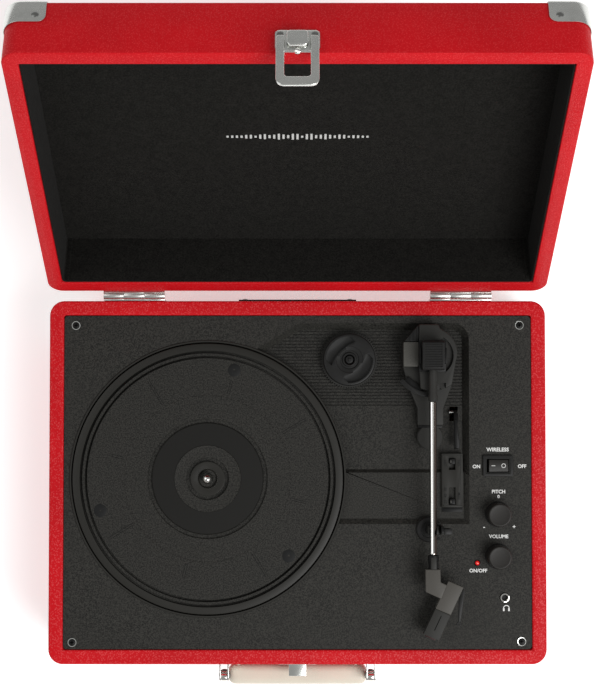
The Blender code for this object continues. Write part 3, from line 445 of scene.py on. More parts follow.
def cloth_finish(name, colour):
    """Woven grille cloth: threads over and under one another."""
    thread = 0.0009
    graph = Graph(name, colour, 0.9)
    x, _, z = graph.axes()
    across = (x * (math.tau / thread)).math("SINE")
    upward = (z * (math.tau / thread)).math("SINE")
    weave = graph.ramp(across * upward, -1.0, 1.0)
    graph.set("Base Color", graph.mix(weave, scaled(colour, 0.3), scaled(colour, 1.8)))
    return graph.bump(weave, 0.00025, 0.8).material


def ink_finish(name, colour):
    """Printed ink, a little uneven."""
    graph = Graph(name, colour, 0.55)
    graph.set("Base Color", graph.mix(graph.noise(0.0006, 2.0), scaled(colour, 0.86), colour))
    return graph.bump(graph.noise(0.0003), 0.00001, 0.3).material


def lens_finish(name, colour):
    """A lit red lens, brightest in its middle."""
    graph = Graph(name, colour, 0.15, Emission_Strength=0.7, Coat_Weight=0.3)
    glow = graph.ramp(graph.distance(LED), 0.0001, 0.0007, 1.0, 0.0)
    graph.set("Emission Color", graph.mix(glow, scaled(colour, 0.7), (1.0, 0.42, 0.32)))
    return graph.material


def make_finishes():
    """Every finish, by name."""
    tint = colours()
    deck = tuple(tint.deck)
    metal = tuple(tint.metal)
    # the last number is the strength of the painted highlight on the pebble tops: stronger on the base's rim
    # than on the lid
    vinyl_finish("red_vinyl", tuple(tint.vinyl), sizes().grain, 0.6)
    vinyl_finish("lid_vinyl", scaled(tint.vinyl, 1.02), sizes().grain * 0.9, 0.28)
    felt_finish("black_felt", tuple(tint.felt))
    plastic_finish("deck_plastic", deck, 0.6, 0.0009, 0.00007, 0.7)
    plastic_finish("smooth_deck", scaled(deck, 0.96), 0.5, 0.0004, 0.00001, 0.1)
    plastic_finish("black_plastic", (0.011, 0.011, 0.0105), 0.42, 0.0004, 0.00001, 0.15)
    plastic_finish("dark_plastic", (0.0045, 0.0045, 0.0043), 0.45, 0.0004, 0.00001, 0.1)
    plastic_finish("grey_plastic", (0.024, 0.0237, 0.0215), 0.5, 0.0004, 0.000015, 0.12)
    plastic_finish("light_grey_plastic", (0.066, 0.064, 0.057), 0.5, 0.0005, 0.000025, 0.16)
    plastic_finish("shell_plastic", (0.067, 0.063, 0.056), 0.42, 0.0004, 0.00001, 0.08)
    plastic_finish("knob_plastic", (0.0175, 0.0162, 0.0145), 0.42, 0.0004, 0.00001, 0.1, 0.2)
    plastic_finish("cream_plastic", tuple(tint.grip), 0.38, 0.0008, 0.00002, 0.025, 0.35)
    plastic_finish("rubber", (0.009, 0.009, 0.009), 0.75, 0.0007, 0.00005, 0.3)
    plastic_finish("pad_rubber", (0.0075, 0.0078, 0.0078), 0.6, 0.0005, 0.00002, 0.2)
    plastic_finish("circuit_board", (0.02, 0.12, 0.05), 0.45)
    plastic_finish("maroon_plastic", (0.03, 0.009, 0.009), 0.4)
    platter_finish("platter_plastic", scaled(deck, 0.95))
    metal_finish("bright_steel", metal, 0.2)
    metal_finish("drawn_steel", scaled(metal, 0.92), 0.3, (1.0, 8.0, 8.0))
    metal_finish("dark_steel", scaled(metal, 0.32), 0.34)
    metal_finish("chrome", (0.86, 0.85, 0.81), 0.07)
    tube_finish("tube_chrome", (0.88, 0.87, 0.84))
    board_finish("fibreboard", (0.2, 0.13, 0.07))
    board_finish("paper_cone", (0.02, 0.02, 0.022), 0.002)
    cloth_finish("grille_cloth", (0.016, 0.016, 0.016))
    ink_finish("white_ink", (0.80, 0.80, 0.78))
    ink_finish("silver_ink", (0.62, 0.62, 0.60))
    lens_finish("red_lens", (0.55, 0.01, 0.01))


# ---------------------------------------------------------------- modelling helpers

def object_mode():
    """Leave edit mode."""
    if bpy.context.object and bpy.context.object.mode != "OBJECT":
        bpy.ops.object.mode_set(mode="OBJECT")


def deselect():
    """Select nothing."""
    object_mode()
    bpy.ops.object.select_all(action="DESELECT")


def only(obj):
    """Select one object and make it active."""
    deselect()
    obj.select_set(True)
    bpy.context.view_layer.objects.active = obj
    return obj


def named(name):
    """Name the object just added."""
    obj = bpy.context.object
    obj.name = name
    obj.data.name = name
    return obj


def apply_place(obj):
    """Put an object's place into its mesh."""
    only(obj)
    bpy.ops.object.transform_apply(location=True, rotation=True, scale=True)
    return obj


def pick(obj, kind, test):
    """Select the edges or faces that pass a test, in edit mode. Places are in millimetres."""
    only(obj)
    mesh = obj.data
    for group in (mesh.vertices, mesh.edges, mesh.polygons):
        group.foreach_set("select", [False] * len(group))
    bpy.context.tool_settings.mesh_select_mode = (False, kind == "EDGE", kind == "FACE")
    if kind == "FACE":
        for face in mesh.polygons:
            face.select = test(face.center / MM, face.normal)
    else:
        for edge in mesh.edges:
            edge.select = test(*(mesh.vertices[i].co / MM for i in edge.vertices))
    bpy.ops.object.mode_set(mode="EDIT")


def upright(a, b):
    """True for an edge along Z."""
    return abs(a.x - b.x) + abs(a.y - b.y) < 0.001


def along_y(a, b):
    """True for an edge along Y."""
    return abs(a.x - b.x) + abs(a.z - b.z) < 0.001


def modify(obj, kind, **settings):
    """Add a modifier and apply it."""
    only(obj)
    modifier = obj.modifiers.new(kind.lower(), kind)
    for key, value in settings.items():
        setattr(modifier, key, value)
    bpy.ops.object.modifier_apply(modifier=modifier.name)
    return obj


def soften(obj, width, segments=2, angle=30.0):
    """Round every edge sharper than an angle."""
    return modify(obj, "BEVEL", width=width * MM, segments=segments, limit_method="ANGLE",
                  angle_limit=math.radians(angle), use_clamp_overlap=True)


def carve(obj, *tools, operation="DIFFERENCE"):
    """Cut, join or intersect with tools, which are then removed."""
    for tool in tools:
        modify(obj, "BOOLEAN", operation=operation, solver="EXACT", object=tool)
        bpy.data.objects.remove(tool, do_unlink=True)
    return obj


def fuse(name, pieces):
    """Join separate pieces into one object."""
    deselect()
    for piece in pieces:
        piece.select_set(True)
    bpy.context.view_layer.objects.active = pieces[0]
    bpy.ops.object.join()
    return named(name)


def twin(obj, name, matrix):
    """A copy with its own mesh, moved by a matrix; a mirrored one has its faces turned out again."""
    only(obj)
    bpy.ops.object.duplicate(linked=False)
    copy = named(name)
    copy.matrix_world = matrix @ copy.matrix_world
    apply_place(copy)
    return recalculate(copy) if matrix.determinant() < 0 else copy


def recalculate(obj):
    """Merge doubles and point the faces outwards."""
    only(obj)
    bpy.ops.object.mode_set(mode="EDIT")
    bpy.ops.mesh.select_all(action="SELECT")
    bpy.ops.mesh.remove_doubles(threshold=0.000001)
    bpy.ops.mesh.normals_make_consistent(inside=False)
    bpy.ops.object.mode_set(mode="OBJECT")
    return obj


def slab(name, x, y, z, corner=0.0, corner_steps=6, edge=0.0, edge_steps=2, corners=upright):
    """A block between limits, with rounded corners one way and softened edges all round."""
    low, high = (Vector([limits[i] for limits in (x, y, z)]) for i in (0, 1))
    deselect()
    bpy.ops.mesh.primitive_cube_add(size=1.0, location=(low + high) / 2 * MM,
                                    scale=(high - low) * MM)
    obj = apply_place(named(name))
    if corner:
        pick(obj, "EDGE", corners)
        bpy.ops.mesh.bevel(offset=corner * MM, segments=corner_steps, affect="EDGES")
        object_mode()
    if edge:
        soften(obj, edge, edge_steps)
    return obj


def drum(name, radius, low, high, at, sides=48):
    """A round bar standing between two heights."""
    deselect()
    bpy.ops.mesh.primitive_cone_add(vertices=sides, radius1=radius * MM, radius2=radius * MM,
                                    depth=(high - low) * MM,
                                    location=(at[0] * MM, at[1] * MM, (low + high) / 2 * MM))
    return apply_place(named(name))


def chain(name, points):
    """A line of vertices, drawn by extruding one vertex from point to point."""
    deselect()
    bpy.ops.mesh.primitive_plane_add(size=MM)
    obj = named(name)
    bpy.context.tool_settings.mesh_select_mode = (True, False, False)
    bpy.ops.object.mode_set(mode="EDIT")
    bpy.ops.mesh.select_all(action="SELECT")
    bpy.ops.mesh.merge(type="CENTER")
    places = [Vector(point) * MM for point in points]
    bpy.ops.transform.translate(value=places[0])
    for here, there in zip(places, places[1:]):
        bpy.ops.mesh.extrude_vertices_move(TRANSFORM_OT_translate={"value": there - here})
    bpy.ops.mesh.select_all(action="SELECT")
    return obj


FACINGS = {
    "up": Matrix.Identity(4),
    "front": Matrix.Rotation(math.radians(90), 4, "X"),
    "back": Matrix.Rotation(math.radians(-90), 4, "X"),
    "right": Matrix.Rotation(math.radians(90), 4, "Y"),
    "left": Matrix.Rotation(math.radians(-90), 4, "Y"),
}


def turned(name, profile, at, facing="up", steps=64):
    """A profile of (radius, height) points spun round an axis through a place."""
    obj = chain(name, [(radius, 0.0, height) for radius, height in profile])
    bpy.ops.mesh.spin(steps=steps, angle=math.tau, center=(0, 0, 0), axis=(0, 0, 1))
    recalculate(obj)
    obj.matrix_world = Matrix.Translation(Vector(at) * MM) @ FACINGS[facing]
    return apply_place(obj)


def cutout(name, points, z, edge=0.0, edge_steps=2):
    """A flat outline given a thickness."""
    obj = chain(name, [(x, y, z[0]) for x, y in points])
    bpy.ops.mesh.edge_face_add()
    bpy.ops.mesh.extrude_region_move(TRANSFORM_OT_translate={"value": (0, 0, (z[1] - z[0]) * MM)})
    recalculate(obj)
    return soften(obj, edge, edge_steps) if edge else obj


def arc(centre, radius, start, stop, count=8):
    """Points along an arc, angles in degrees."""
    angles = [math.radians(start + (stop - start) * i / (count - 1)) for i in range(count)]
    return [(centre[0] + radius * math.cos(a), centre[1] + radius * math.sin(a)) for a in angles]


def tube(name, points, radius, resolution):
    """A round wire through a list of points."""
    only(chain(name, points))
    bpy.ops.object.convert(target="CURVE")
    curve = named(name).data
    curve.bevel_depth = radius * MM
    curve.bevel_resolution = resolution
    curve.use_fill_caps = True
    bpy.ops.object.convert(target="MESH")
    return recalculate(named(name))


def lettering(name, text, at, size, turn=0.0, thickness=0.05, bold=0.09):
    """Raised letters, centred on a place."""
    deselect()
    bpy.ops.object.text_add()
    obj = named(name)
    obj.data.body = text
    obj.data.size = size * MM
    obj.data.extrude = thickness / 2 * MM
    obj.data.offset = bold * MM
    obj.data.align_x = "CENTER"
    obj.data.align_y = "CENTER"
    obj.data.resolution_u = 3
    bpy.ops.object.convert(target="MESH")
    obj = recalculate(bpy.context.object)
    place = Vector((at[0], at[1], at[2] + thickness / 2)) * MM
    obj.matrix_world = Matrix.Translation(place) @ Matrix.Rotation(math.radians(turn), 4, "Z")
    return apply_place(obj)


def dome(name, radius, height, at, facing="up"):
    """A rivet or screw head with a rounded crown and a thin flange."""
    profile = [(0.0, height), (radius * 0.35, height * 0.94), (radius * 0.68, height * 0.68),
               (radius * 0.9, height * 0.32), (radius, height * 0.1), (radius, -0.3), (0.0, -0.3)]
    return turned(name, profile, at, facing, 24)


def mounted(obj, body, finish, nodes=(), angle=32.0):
    """Shade a piece that is in its place, give it its finish and let it ride on its body."""
    bpy.ops.object.shade_smooth_by_angle(angle=math.radians(angle))
    obj.data.materials.clear()
    obj.data.materials.append(FINISHES[finish])
    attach(obj, body)
    if nodes:
        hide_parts(*nodes)
    return obj


def done(obj, body, finish, nodes=(), lid=False):
    """Put a piece in its place, turned open if it is the lid's, and mount it."""
    obj.matrix_world = (OPEN_LID @ MIDDLE if lid else MIDDLE) @ obj.matrix_world
    return mounted(apply_place(obj), body, finish, nodes)


def refined(node, finish, width=0.25, segments=2):
    """A copy of a node's own shape, welded, with rounded edges, that stands for it."""
    only(frame["nodes"][node])
    bpy.ops.object.duplicate(linked=False)
    obj = named(f"{node}_finished")
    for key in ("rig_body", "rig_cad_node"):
        del obj[key]
    obj.parent = None
    weld(obj)
    soften(obj, width, segments, 35.0)
    return mounted(obj, BODY_OF[node], finish, [node], angle=35.0)


def weld(obj):
    """Merge a loose mesh's doubles and dissolve the lines across its flat faces."""
    only(obj)
    bpy.ops.object.mode_set(mode="EDIT")
    bpy.ops.mesh.select_all(action="SELECT")
    bpy.ops.mesh.remove_doubles(threshold=0.000002)
    bpy.ops.mesh.dissolve_limited(angle_limit=math.radians(1.0))
    bpy.ops.object.mode_set(mode="OBJECT")


def dress(node, finish):
    """Give a node that keeps its own shape a better finish."""
    mesh = frame["nodes"][node].data
    mesh.materials.clear()
    mesh.materials.append(FINISHES[finish])


# ---------------------------------------------------------------- case and lid

def case_shell():
    """The wrapped walls of the base."""
    shell = slab("case_shell", (-HALF_X, HALF_X), (-HALF_Y, HALF_Y), (FOOT, RIM), CORNER, 10)
    carve(shell, slab("case_room", (WALL - HALF_X, HALF_X - WALL), (WALL - HALF_Y, HALF_Y - WALL),
                      (FOOT - 3, RIM + 3)))
    soften(shell, sizes().rim_round / MM, 4, 40.0)
    tools = []
    for side in ("left", "right"):
        middle = local_middle(f"speaker_{side}")
        tool = turned(f"speaker_cut_{side}", [(0, 20), (22, 20), (22, -20), (0, -20)],
                      (middle.x, -HALF_Y, middle.z), "front")
        tools.append(tool)
    panel = local_middle("rear_panel")
    tools.append(slab("rear_cut", (-38, 38), (HALF_Y - 16, HALF_Y + 4), (panel.z - 15, panel.z + 15)))
    carve(shell, *tools)
    return done(shell, "root", "red_vinyl", ["base_case"])


def rim_seams(name, top, body, lid):
    """Mitred folds of the wrapping at the rim's four corners."""
    folds = []
    for sx in (-1, 1):
        for sy in (-1, 1):
            outer = Vector((sx * (HALF_X - 4.0), sy * (HALF_Y - 4.0), top))
            inner = Vector((sx * (HALF_X - WALL + 0.4), sy * (HALF_Y - WALL + 0.4), top))
            folds.append(tube(f"{name}_{sx}_{sy}", [outer, (outer + inner) / 2, inner], 0.22, 2))
    return done(fuse(name, folds), body, "red_vinyl", lid=lid)


def base_underside():
    """The bottom board with its screws, and the four feet."""
    low, high = local_box("bottom_panel")
    board = slab("bottom_board", (low.x, high.x), (low.y, high.y), (low.z, high.z), 2.7, 5, 0.3)
    done(board, "root", "fibreboard", ["bottom_panel"])
    heads = []
    for i, x in enumerate((-150, -50, 50, 150)):
        for y in (-108, 108):
            heads.append(dome(f"board_screw_{i}_{y}", 2.8, 1.2, (x, y, 0)))
    screws = fuse("board_screws", heads)
    screws.matrix_world = (Matrix.Translation((0, 0, low.z * MM))
                           @ Matrix.Rotation(math.pi, 4, "X"))
    done(apply_place(screws), "root", "dark_steel")
    for index in range(1, 5):
        middle = local_middle(f"foot_{index}")
        top = local_box(f"foot_{index}")[1].z
        profile = [(0, top), (9.2, top), (9.5, top - 0.3), (8.6, 1.6), (8.2, 0.7), (7.4, 0.05),
                   (4.0, 0.0), (3.4, 0.8), (0, 0.8)]
        foot = turned(f"rubber_foot_{index}", profile, (middle.x, middle.y, 0))
        done(foot, "root", "rubber", [f"foot_{index}"])


def speaker_fronts():
    """Woven grilles in the two front openings, each in a thin ring."""
    for side in ("left", "right"):
        middle = local_middle(f"speaker_{side}")
        front = -HALF_Y
        cloth = turned(f"grille_{side}", [(0, 0.9), (12, 0.5), (21.4, -0.6), (21.4, -1.6), (0, -1.6)],
                       (middle.x, front + 1.2, middle.z), "front")
        done(cloth, "root", "grille_cloth")
        ring = [(21.6, 1.0), (22.2, 1.5), (24.2, 1.4), (24.8, 0.9), (24.8, 0.05), (21.6, -2.0)]
        trim = turned(f"grille_ring_{side}", [*ring, ring[0]], (middle.x, front, middle.z), "front")
        done(trim, "root", "bright_steel")
        dress(f"speaker_{side}", "paper_cone")


def lid_shell():
    """The wrapped lid, hollow below its top sheet."""
    shell = slab("lid_cover", (-HALF_X, HALF_X), (-HALF_Y, HALF_Y), (LID_RIM, LID_TOP), CORNER, 10)
    pick(shell, "EDGE", lambda a, b: min(a.z, b.z) > LID_TOP - 0.01)
    bpy.ops.mesh.bevel(offset=sizes().lid_round, segments=5, affect="EDGES")
    object_mode()
    carve(shell, slab("lid_room", (WALL - HALF_X, HALF_X - WALL), (WALL - HALF_Y, HALF_Y - WALL),
                      (LID_RIM - 3, LID_TOP - 2.0)))
    soften(shell, sizes().rim_round * 0.6 / MM, 3, 40.0)
    done(shell, "lid", "lid_vinyl", ["lid_shell"], lid=True)


def lid_lining():
    """The felt lining with its corner seams, and a plain emblem of upright bars."""
    dress("lid_lining", "black_felt")
    low, high = local_box("lid_lining")
    seams = [slab(f"seam_{sx}_{sy}", sorted((sx * (high.x - 1.4), sx * (high.x - 4.6))),
                  sorted((sy * (high.y - 0.8), sy * (high.y - 1.15))),
                  (low.z + 1, high.z - 1.2), edge=0.1)
             for sx in (-1, 1) for sy in (-1, 1)]
    done(fuse("lining_seams", seams), "lid", "black_felt", lid=True)
    count = 31
    bars = []
    for i in range(count):
        share = i / (count - 1)
        swell = math.sin(math.pi * share)
        height = 0.9 + 2.3 * swell * abs(math.sin(9.0 * share * math.pi + 0.6))
        x = (share - 0.5) * 93.0
        middle = -1.0
        bars.append(slab(f"bar_{i}", (x - 0.75, x + 0.75), (middle - height, middle + height),
                         (high.z - 1.15, high.z - 0.75), edge=0.08, edge_steps=1))
    done(fuse("lid_emblem", bars), "lid", "silver_ink", lid=True)


# ---------------------------------------------------------------- corner protectors

def rounded_corner(name, offset, top_round):
    """One corner of a block, offset outwards, rounded as the case is."""
    x = HALF_X + offset
    y = HALF_Y + offset
    z = LID_TOP + offset
    block = slab(name, (x - 70, x), (y - 70, y), (z - 60, z))
    pick(block, "EDGE", lambda a, b: upright(a, b) and min(a.x - x, a.y - y) > -0.01)
    bpy.ops.mesh.bevel(offset=(CORNER + offset) * MM, segments=10, affect="EDGES")
    pick(block, "EDGE", lambda a, b: min(a.z, b.z) > z - 0.01
         and min(max(x - a.x, 0) * max(y - a.y, 0), max(x - b.x, 0) * max(y - b.y, 0)) < 40.0
         and max(a.x, b.x) > x - 69 and max(a.y, b.y) > y - 69)
    bpy.ops.mesh.bevel(offset=top_round * MM, segments=4, affect="EDGES")
    object_mode()
    return block


def corner_cap():
    """A pressed cap for the lid's back right corner, with a rivet in each wall."""
    reach = 26.0
    depth = LID_TOP - local_box("lid_corner_1")[0].z
    cap = rounded_corner("cap", 1.05, 3.0)
    hollow = rounded_corner("cap_hollow", 0.25, 2.2)
    cookie = slab("cap_window", (HALF_X - reach, HALF_X + 12), (HALF_Y - reach, HALF_Y + 12),
                  (LID_TOP - depth, LID_TOP + 12))
    pick(cookie, "EDGE", lambda a, b: upright(a, b) and max(a.x - HALF_X, a.y - HALF_Y) < 0)
    bpy.ops.mesh.bevel(offset=12.0 * MM, segments=8, affect="EDGES")
    pick(cookie, "EDGE", lambda a, b: max(a.z, b.z) < LID_TOP - depth + 0.01)
    bpy.ops.mesh.bevel(offset=5.0 * MM, segments=6, affect="EDGES")
    object_mode()
    carve(cap, hollow)
    carve(cap, cookie, operation="INTERSECT")
    soften(cap, 0.22, 2, 50.0)
    low = LID_TOP - depth + 5.6
    rivets = [dome("rivet_a", 2.4, 0.9, (HALF_X - 19.5, HALF_Y + 1.05, low), "back"),
              dome("rivet_b", 2.4, 0.9, (HALF_X + 1.05, HALF_Y - 19.5, low), "right"),
              dome("rivet_c", 2.4, 0.9, (HALF_X - 11.5, HALF_Y - 11.5, LID_TOP + 1.05))]
    return cap, fuse("rivets", rivets)


def corner_protectors():
    """The eight caps: four on the lid, and four turned over under the base."""
    cap, rivets = corner_cap()
    signs = ((-1, -1), (1, -1), (1, 1), (-1, 1))
    turn_over = Matrix.Translation((0, 0, (LID_TOP + FOOT) * MM)) @ Matrix.Scale(-1, 4, (0, 0, 1))
    for part, over, lid in (("lid", Matrix.Identity(4), True), ("base", turn_over, False)):
        body = "lid" if lid else "root"
        for index, (sx, sy) in enumerate(signs, 1):
            place = over @ Matrix.Diagonal((sx, sy, 1, 1))
            node = f"{part}_corner_{index}"
            done(twin(cap, f"{part}_cap_{index}", place), body, "bright_steel", [node], lid)
            done(twin(rivets, f"{part}_cap_rivets_{index}", place), body, "dark_steel", lid=lid)
    for obj in (cap, rivets):
        bpy.data.objects.remove(obj, do_unlink=True)


# ---------------------------------------------------------------- hinges, latch and handle

def hinges():
    """Both hinges, with the screws in their leaves."""
    for side in ("left", "right"):
        for leaf, lid in (("base", False), ("lid", True)):
            node = f"{leaf}_hinge_leaf_{side}"
            refined(node, "drawn_steel", 0.3)
            low, high = local_box(node)
            middle = (low.x + high.x) / 2
            z = low.z + 4.5 if leaf == "base" else high.z - 4.5
            heads = [dome(f"{node}_screw_{i}", 2.2, 0.7, (middle + dx, low.y + 1.5, z), "back")
                     for i, dx in enumerate((-15, 0, 15))]
            done(fuse(f"{node}_screws", heads), BODY_OF[node], "dark_steel", lid=lid)
        refined(f"hinge_pin_{side}", "chrome", 0.2)


def latch():
    """The latch on the lid: plate, rivets, sprung tab, pin with its ball, and the loop."""
    wall = -HALF_Y - GAP
    plate_low, plate_high = local_box("latch_plate")
    plate = slab("latch_base", (-13.5, 13.5), (wall - 1.0, wall), (LID_RIM + 0.8, plate_high.z - 1.2),
                 3.0, 6, 0.3, corners=along_y)
    done(plate, "lid", "bright_steel", ["latch_plate"], lid=True)
    rivets = [dome(f"latch_rivet_{i}", 2.1, 0.5, (x, wall - 1.0, plate_high.z - 4.2), "front")
              for i, x in enumerate((-10.4, 10.4))]
    done(fuse("latch_rivets", rivets), "lid", "dark_steel", lid=True)
    tab = slab("latch_tab", (-6.5, 6.5), (plate_low.y, wall - 0.5), (RIM + 3.2, plate_high.z - 4.0), 2.4, 6,
               0.7, 3, corners=along_y)
    done(tab, "lid", "bright_steel", lid=True)
    pin = turned("latch_pin", [(0, 12.9), (0.7, 12.9), (0.7, 1.9), (1.5, 1.5), (2.0, 0), (1.5, -1.5),
                               (0.7, -1.9), (0.7, -12.9), (0, -12.9)],
                 (0, LATCH.y, RIM - 0.9), "right", 20)
    done(pin, "latch", "chrome", lid=True)
    low, high = local_box("latch_loop")
    half = high.x
    inner = half - 5.2
    window = low.z + 6.4
    top = high.z
    outline = arc((half - 5, low.z + 5), 5, -90, 0) + arc((half - 2.4, top - 2.4), 2.4, 0, 90, 5)
    outline += arc((inner + 1.2, top - 1.2), 1.2, 90, 180, 4)
    outline += arc((inner - 2, window + 2), 2, 0, -90, 6) + arc((2 - inner, window + 2), 2, -90, -180, 6)
    outline += arc((-inner - 1.2, top - 1.2), 1.2, 0, 90, 4)
    outline += arc((2.4 - half, top - 2.4), 2.4, 90, 180, 5) + arc((5 - half, low.z + 5), 5, 180, 270)
    loop = cutout("latch_frame", outline, (-1.1, 1.1), 0.55, 3)
    loop.matrix_world = Matrix.Translation((0, LATCH.y * MM, 0)) @ FACINGS["front"]
    done(apply_place(loop), "latch", "bright_steel", ["latch_loop"], lid=True)


def catch_and_brackets():
    """The catch's hook, and the handle's brackets with their domed rivets."""
    refined("latch_catch", "bright_steel", 0.35)
    catch = local_middle("latch_catch")
    wall = -HALF_Y - GAP
    heads = [dome(f"catch_rivet_{i}", 2.0, 0.8, (x, wall - 1.0, catch.z + 1), "front")
             for i, x in enumerate((-10.5, 10.5))]
    for side in ("left", "right"):
        refined(f"handle_bracket_{side}", "bright_steel", 0.3)
        middle = local_middle(f"handle_bracket_{side}")
        heads += [dome(f"bracket_rivet_{side}_{i}", 3.2, 1.5, (middle.x + dx, wall - 1.2, middle.z),
                       "front") for i, dx in enumerate((-10.7, 10.7))]
    done(fuse("front_rivets", heads), "root", "bright_steel")


def handle():
    """The moulded grip, the steel core and the collars at the grip's ends."""
    low, high = local_box("handle_grip")
    grip = slab("grip", (low.x, high.x), (low.y, high.y), (low.z, high.z), edge=5.6, edge_steps=7)
    modify(grip, "SUBSURF", levels=1, render_levels=1)
    pieces = [grip]
    middle = (low + high) / 2
    for i, z in enumerate((-1.5, 1.5)):
        pieces.append(slab(f"grip_seam_{i}", (low.x + 7, high.x - 7), (high.y - 0.25, high.y + 0.05),
                           (middle.z + z - 0.4, middle.z + z + 0.4), edge=0.1))
    done(fuse("handle_cover", pieces), "handle", "cream_plastic", ["handle_grip"])
    refined("handle_core", "chrome", 0.15)
    collars = [turned(f"collar_{i}", [(2.0, 1.2), (3.9, 1.2), (4.3, 0.6), (4.3, -0.6), (3.9, -1.2),
                                      (2.0, -1.2), (2.0, 1.2)],
                      (x, middle.y, high.z + 0.6), steps=32)
               for i, x in enumerate((low.x - 2.5, high.x + 2.5))]
    done(fuse("handle_collars", collars), "handle", "dark_steel")


# ---------------------------------------------------------------- deck

LIP_R = 98.9
WELL_R = 97.4
RECESS_START = (-45.0, 85.9)
RECESS_STOP = (1.2, 113.6)
RECESS_CORNER = (111.3, 102.1)
RECESS_CORNER_R = 11.5
RECESS_RIGHT = 122.8
LOW_SLOPE = 4.5
MID_SLOPE = 3.8
FLOOR_START = (-42.69, 82.04)
RIB_PITCH = 2.3
RIB_COUNT = 24
RIB_FIRST = 108.0
RIB_HALF = 0.5
RIB_LEFT = -40.0


def recess_outline(front):
    """The sunken area's edge at deck height, run in under the platter on its left."""
    points = [RECESS_START, RECESS_STOP] + arc(RECESS_CORNER, RECESS_CORNER_R, 90, 0, 12)
    return (points + [(RECESS_RIGHT, front), (20.0, front)])[::-1]


def recess_tool(name, outline, depth, slope):
    """A cutter with sloping sides for one floor of the sunken area."""
    tool = cutout(name, outline, (DECK, DECK + 3))
    pick(tool, "FACE", lambda centre, normal: normal.z < -0.9)
    bpy.ops.mesh.inset(thickness=slope * MM, depth=depth * MM)
    object_mode()
    return carve(tool, drum(f"{name}_side", LIP_R, DECK - 20, DECK + 8, PLATTER, 128))


def rib_span(y):
    """Where a groove starts and stops, between the slopes on its left and right."""
    run, rise = (stop - start for start, stop in zip(RECESS_START, RECESS_STOP))
    left = FLOOR_START[0] + (y - FLOOR_START[1]) * run / rise
    above = max(y - RECESS_CORNER[1], 0.0)
    right = RECESS_CORNER[0] + math.sqrt((RECESS_CORNER_R - LOW_SLOPE) ** 2 - above ** 2)
    return max(left, RIB_LEFT), right


def rib_tool():
    """A cutter for the grooves in the low floor: one thin blade for each."""
    depth = sizes().rib_depth / MM
    blades = []
    for i in range(RIB_COUNT):
        y = RIB_FIRST - i * RIB_PITCH
        blades.append(slab(f"blade_{i}", rib_span(y), (y - RIB_HALF, y + RIB_HALF),
                           (LOW_FLOOR - depth, LOW_FLOOR + 0.5)))
    return fuse("rib_cutter", blades)


def deck():
    """The moulded deck: sheet, sunken floors with their grooves, and holes for the controls."""
    low, high = DECK_BOX
    sheet = slab("deck_sheet", (low.x, high.x), (low.y, high.y), (DECK - 2.7, DECK), 2.7, 6)
    pan = cutout("deck_pan", recess_outline(-30.0), (LOW_FLOOR - 2.2, DECK - 0.1))
    carve(sheet, pan, operation="UNION")
    carve(sheet, drum("well_cut", LIP_R - 0.3, LOW_FLOOR - 12, DECK + 4, PLATTER, 128),
          recess_tool("low_tool", recess_outline(4.4), DECK - LOW_FLOOR, LOW_SLOPE),
          recess_tool("mid_tool", [(20, -30), (RECESS_RIGHT, -30), (RECESS_RIGHT, 14), (20, 14)],
                      DECK - MID_FLOOR, MID_SLOPE),
          rib_tool())
    lever = local_middle("cue_lever")
    pivot = axis_of("cue_lever_swing")
    tools = [drum("pitch_hole", 4.0, DECK - 9, DECK + 4, PITCH, 32),
             drum("volume_hole", 4.0, DECK - 9, DECK + 4, VOLUME, 32),
             drum("jack_hole", 3.6, DECK - 9, DECK + 4, JACK, 32),
             drum("led_hole", 1.9, DECK - 9, DECK + 4, LED, 24),
             slab("rocker_hole", (ROCKER.x - 9.5, ROCKER.x + 9.5), (ROCKER.y - 6.5, ROCKER.y + 6.5),
                  (DECK - 9, DECK + 4)),
             slab("lever_hole", (lever.x - 3.9, lever.x + 2.1), (pivot.y - 5.2, pivot.y + 5.2),
                  (LOW_FLOOR - 6, LOW_FLOOR + 4))]
    weld(carve(sheet, *tools))
    done(sheet, "root", "deck_plastic", ["deck_panel"])
    lip = [(LIP_R, DECK - 0.6), (LIP_R, DECK + 0.6), (LIP_R - 0.4, DECK + 1.0), (WELL_R + 0.3, DECK + 1.0),
           (WELL_R, DECK + 0.7), (WELL_R, 64.0), (6.5, 64.0), (6.5, 62.2), (LIP_R, 62.2),
           (LIP_R, DECK - 0.6)]
    well = turned("platter_well", lip, (PLATTER.x, PLATTER.y, 0), steps=160)
    done(well, "root", "smooth_deck")
    boss = [(0, DECK + 0.35), (9.6, DECK + 0.35), (9.6, MID_FLOOR - 1), (0, MID_FLOOR - 1)]
    done(turned("rest_boss", boss, (REST.x - 0.3, REST.y, 0)), "root", "deck_plastic")
    post = [(0, LOW_FLOOR + 8.2), (0.9, LOW_FLOOR + 8.0), (1.2, LOW_FLOOR + 7.2), (2.6, LOW_FLOOR + 7.0),
            (3.1, LOW_FLOOR + 6.4), (3.1, LOW_FLOOR - 0.5), (0, LOW_FLOOR - 0.5)]
    done(turned("adapter_post", post, (ADAPTER.x, ADAPTER.y, 0)), "root", "black_plastic")


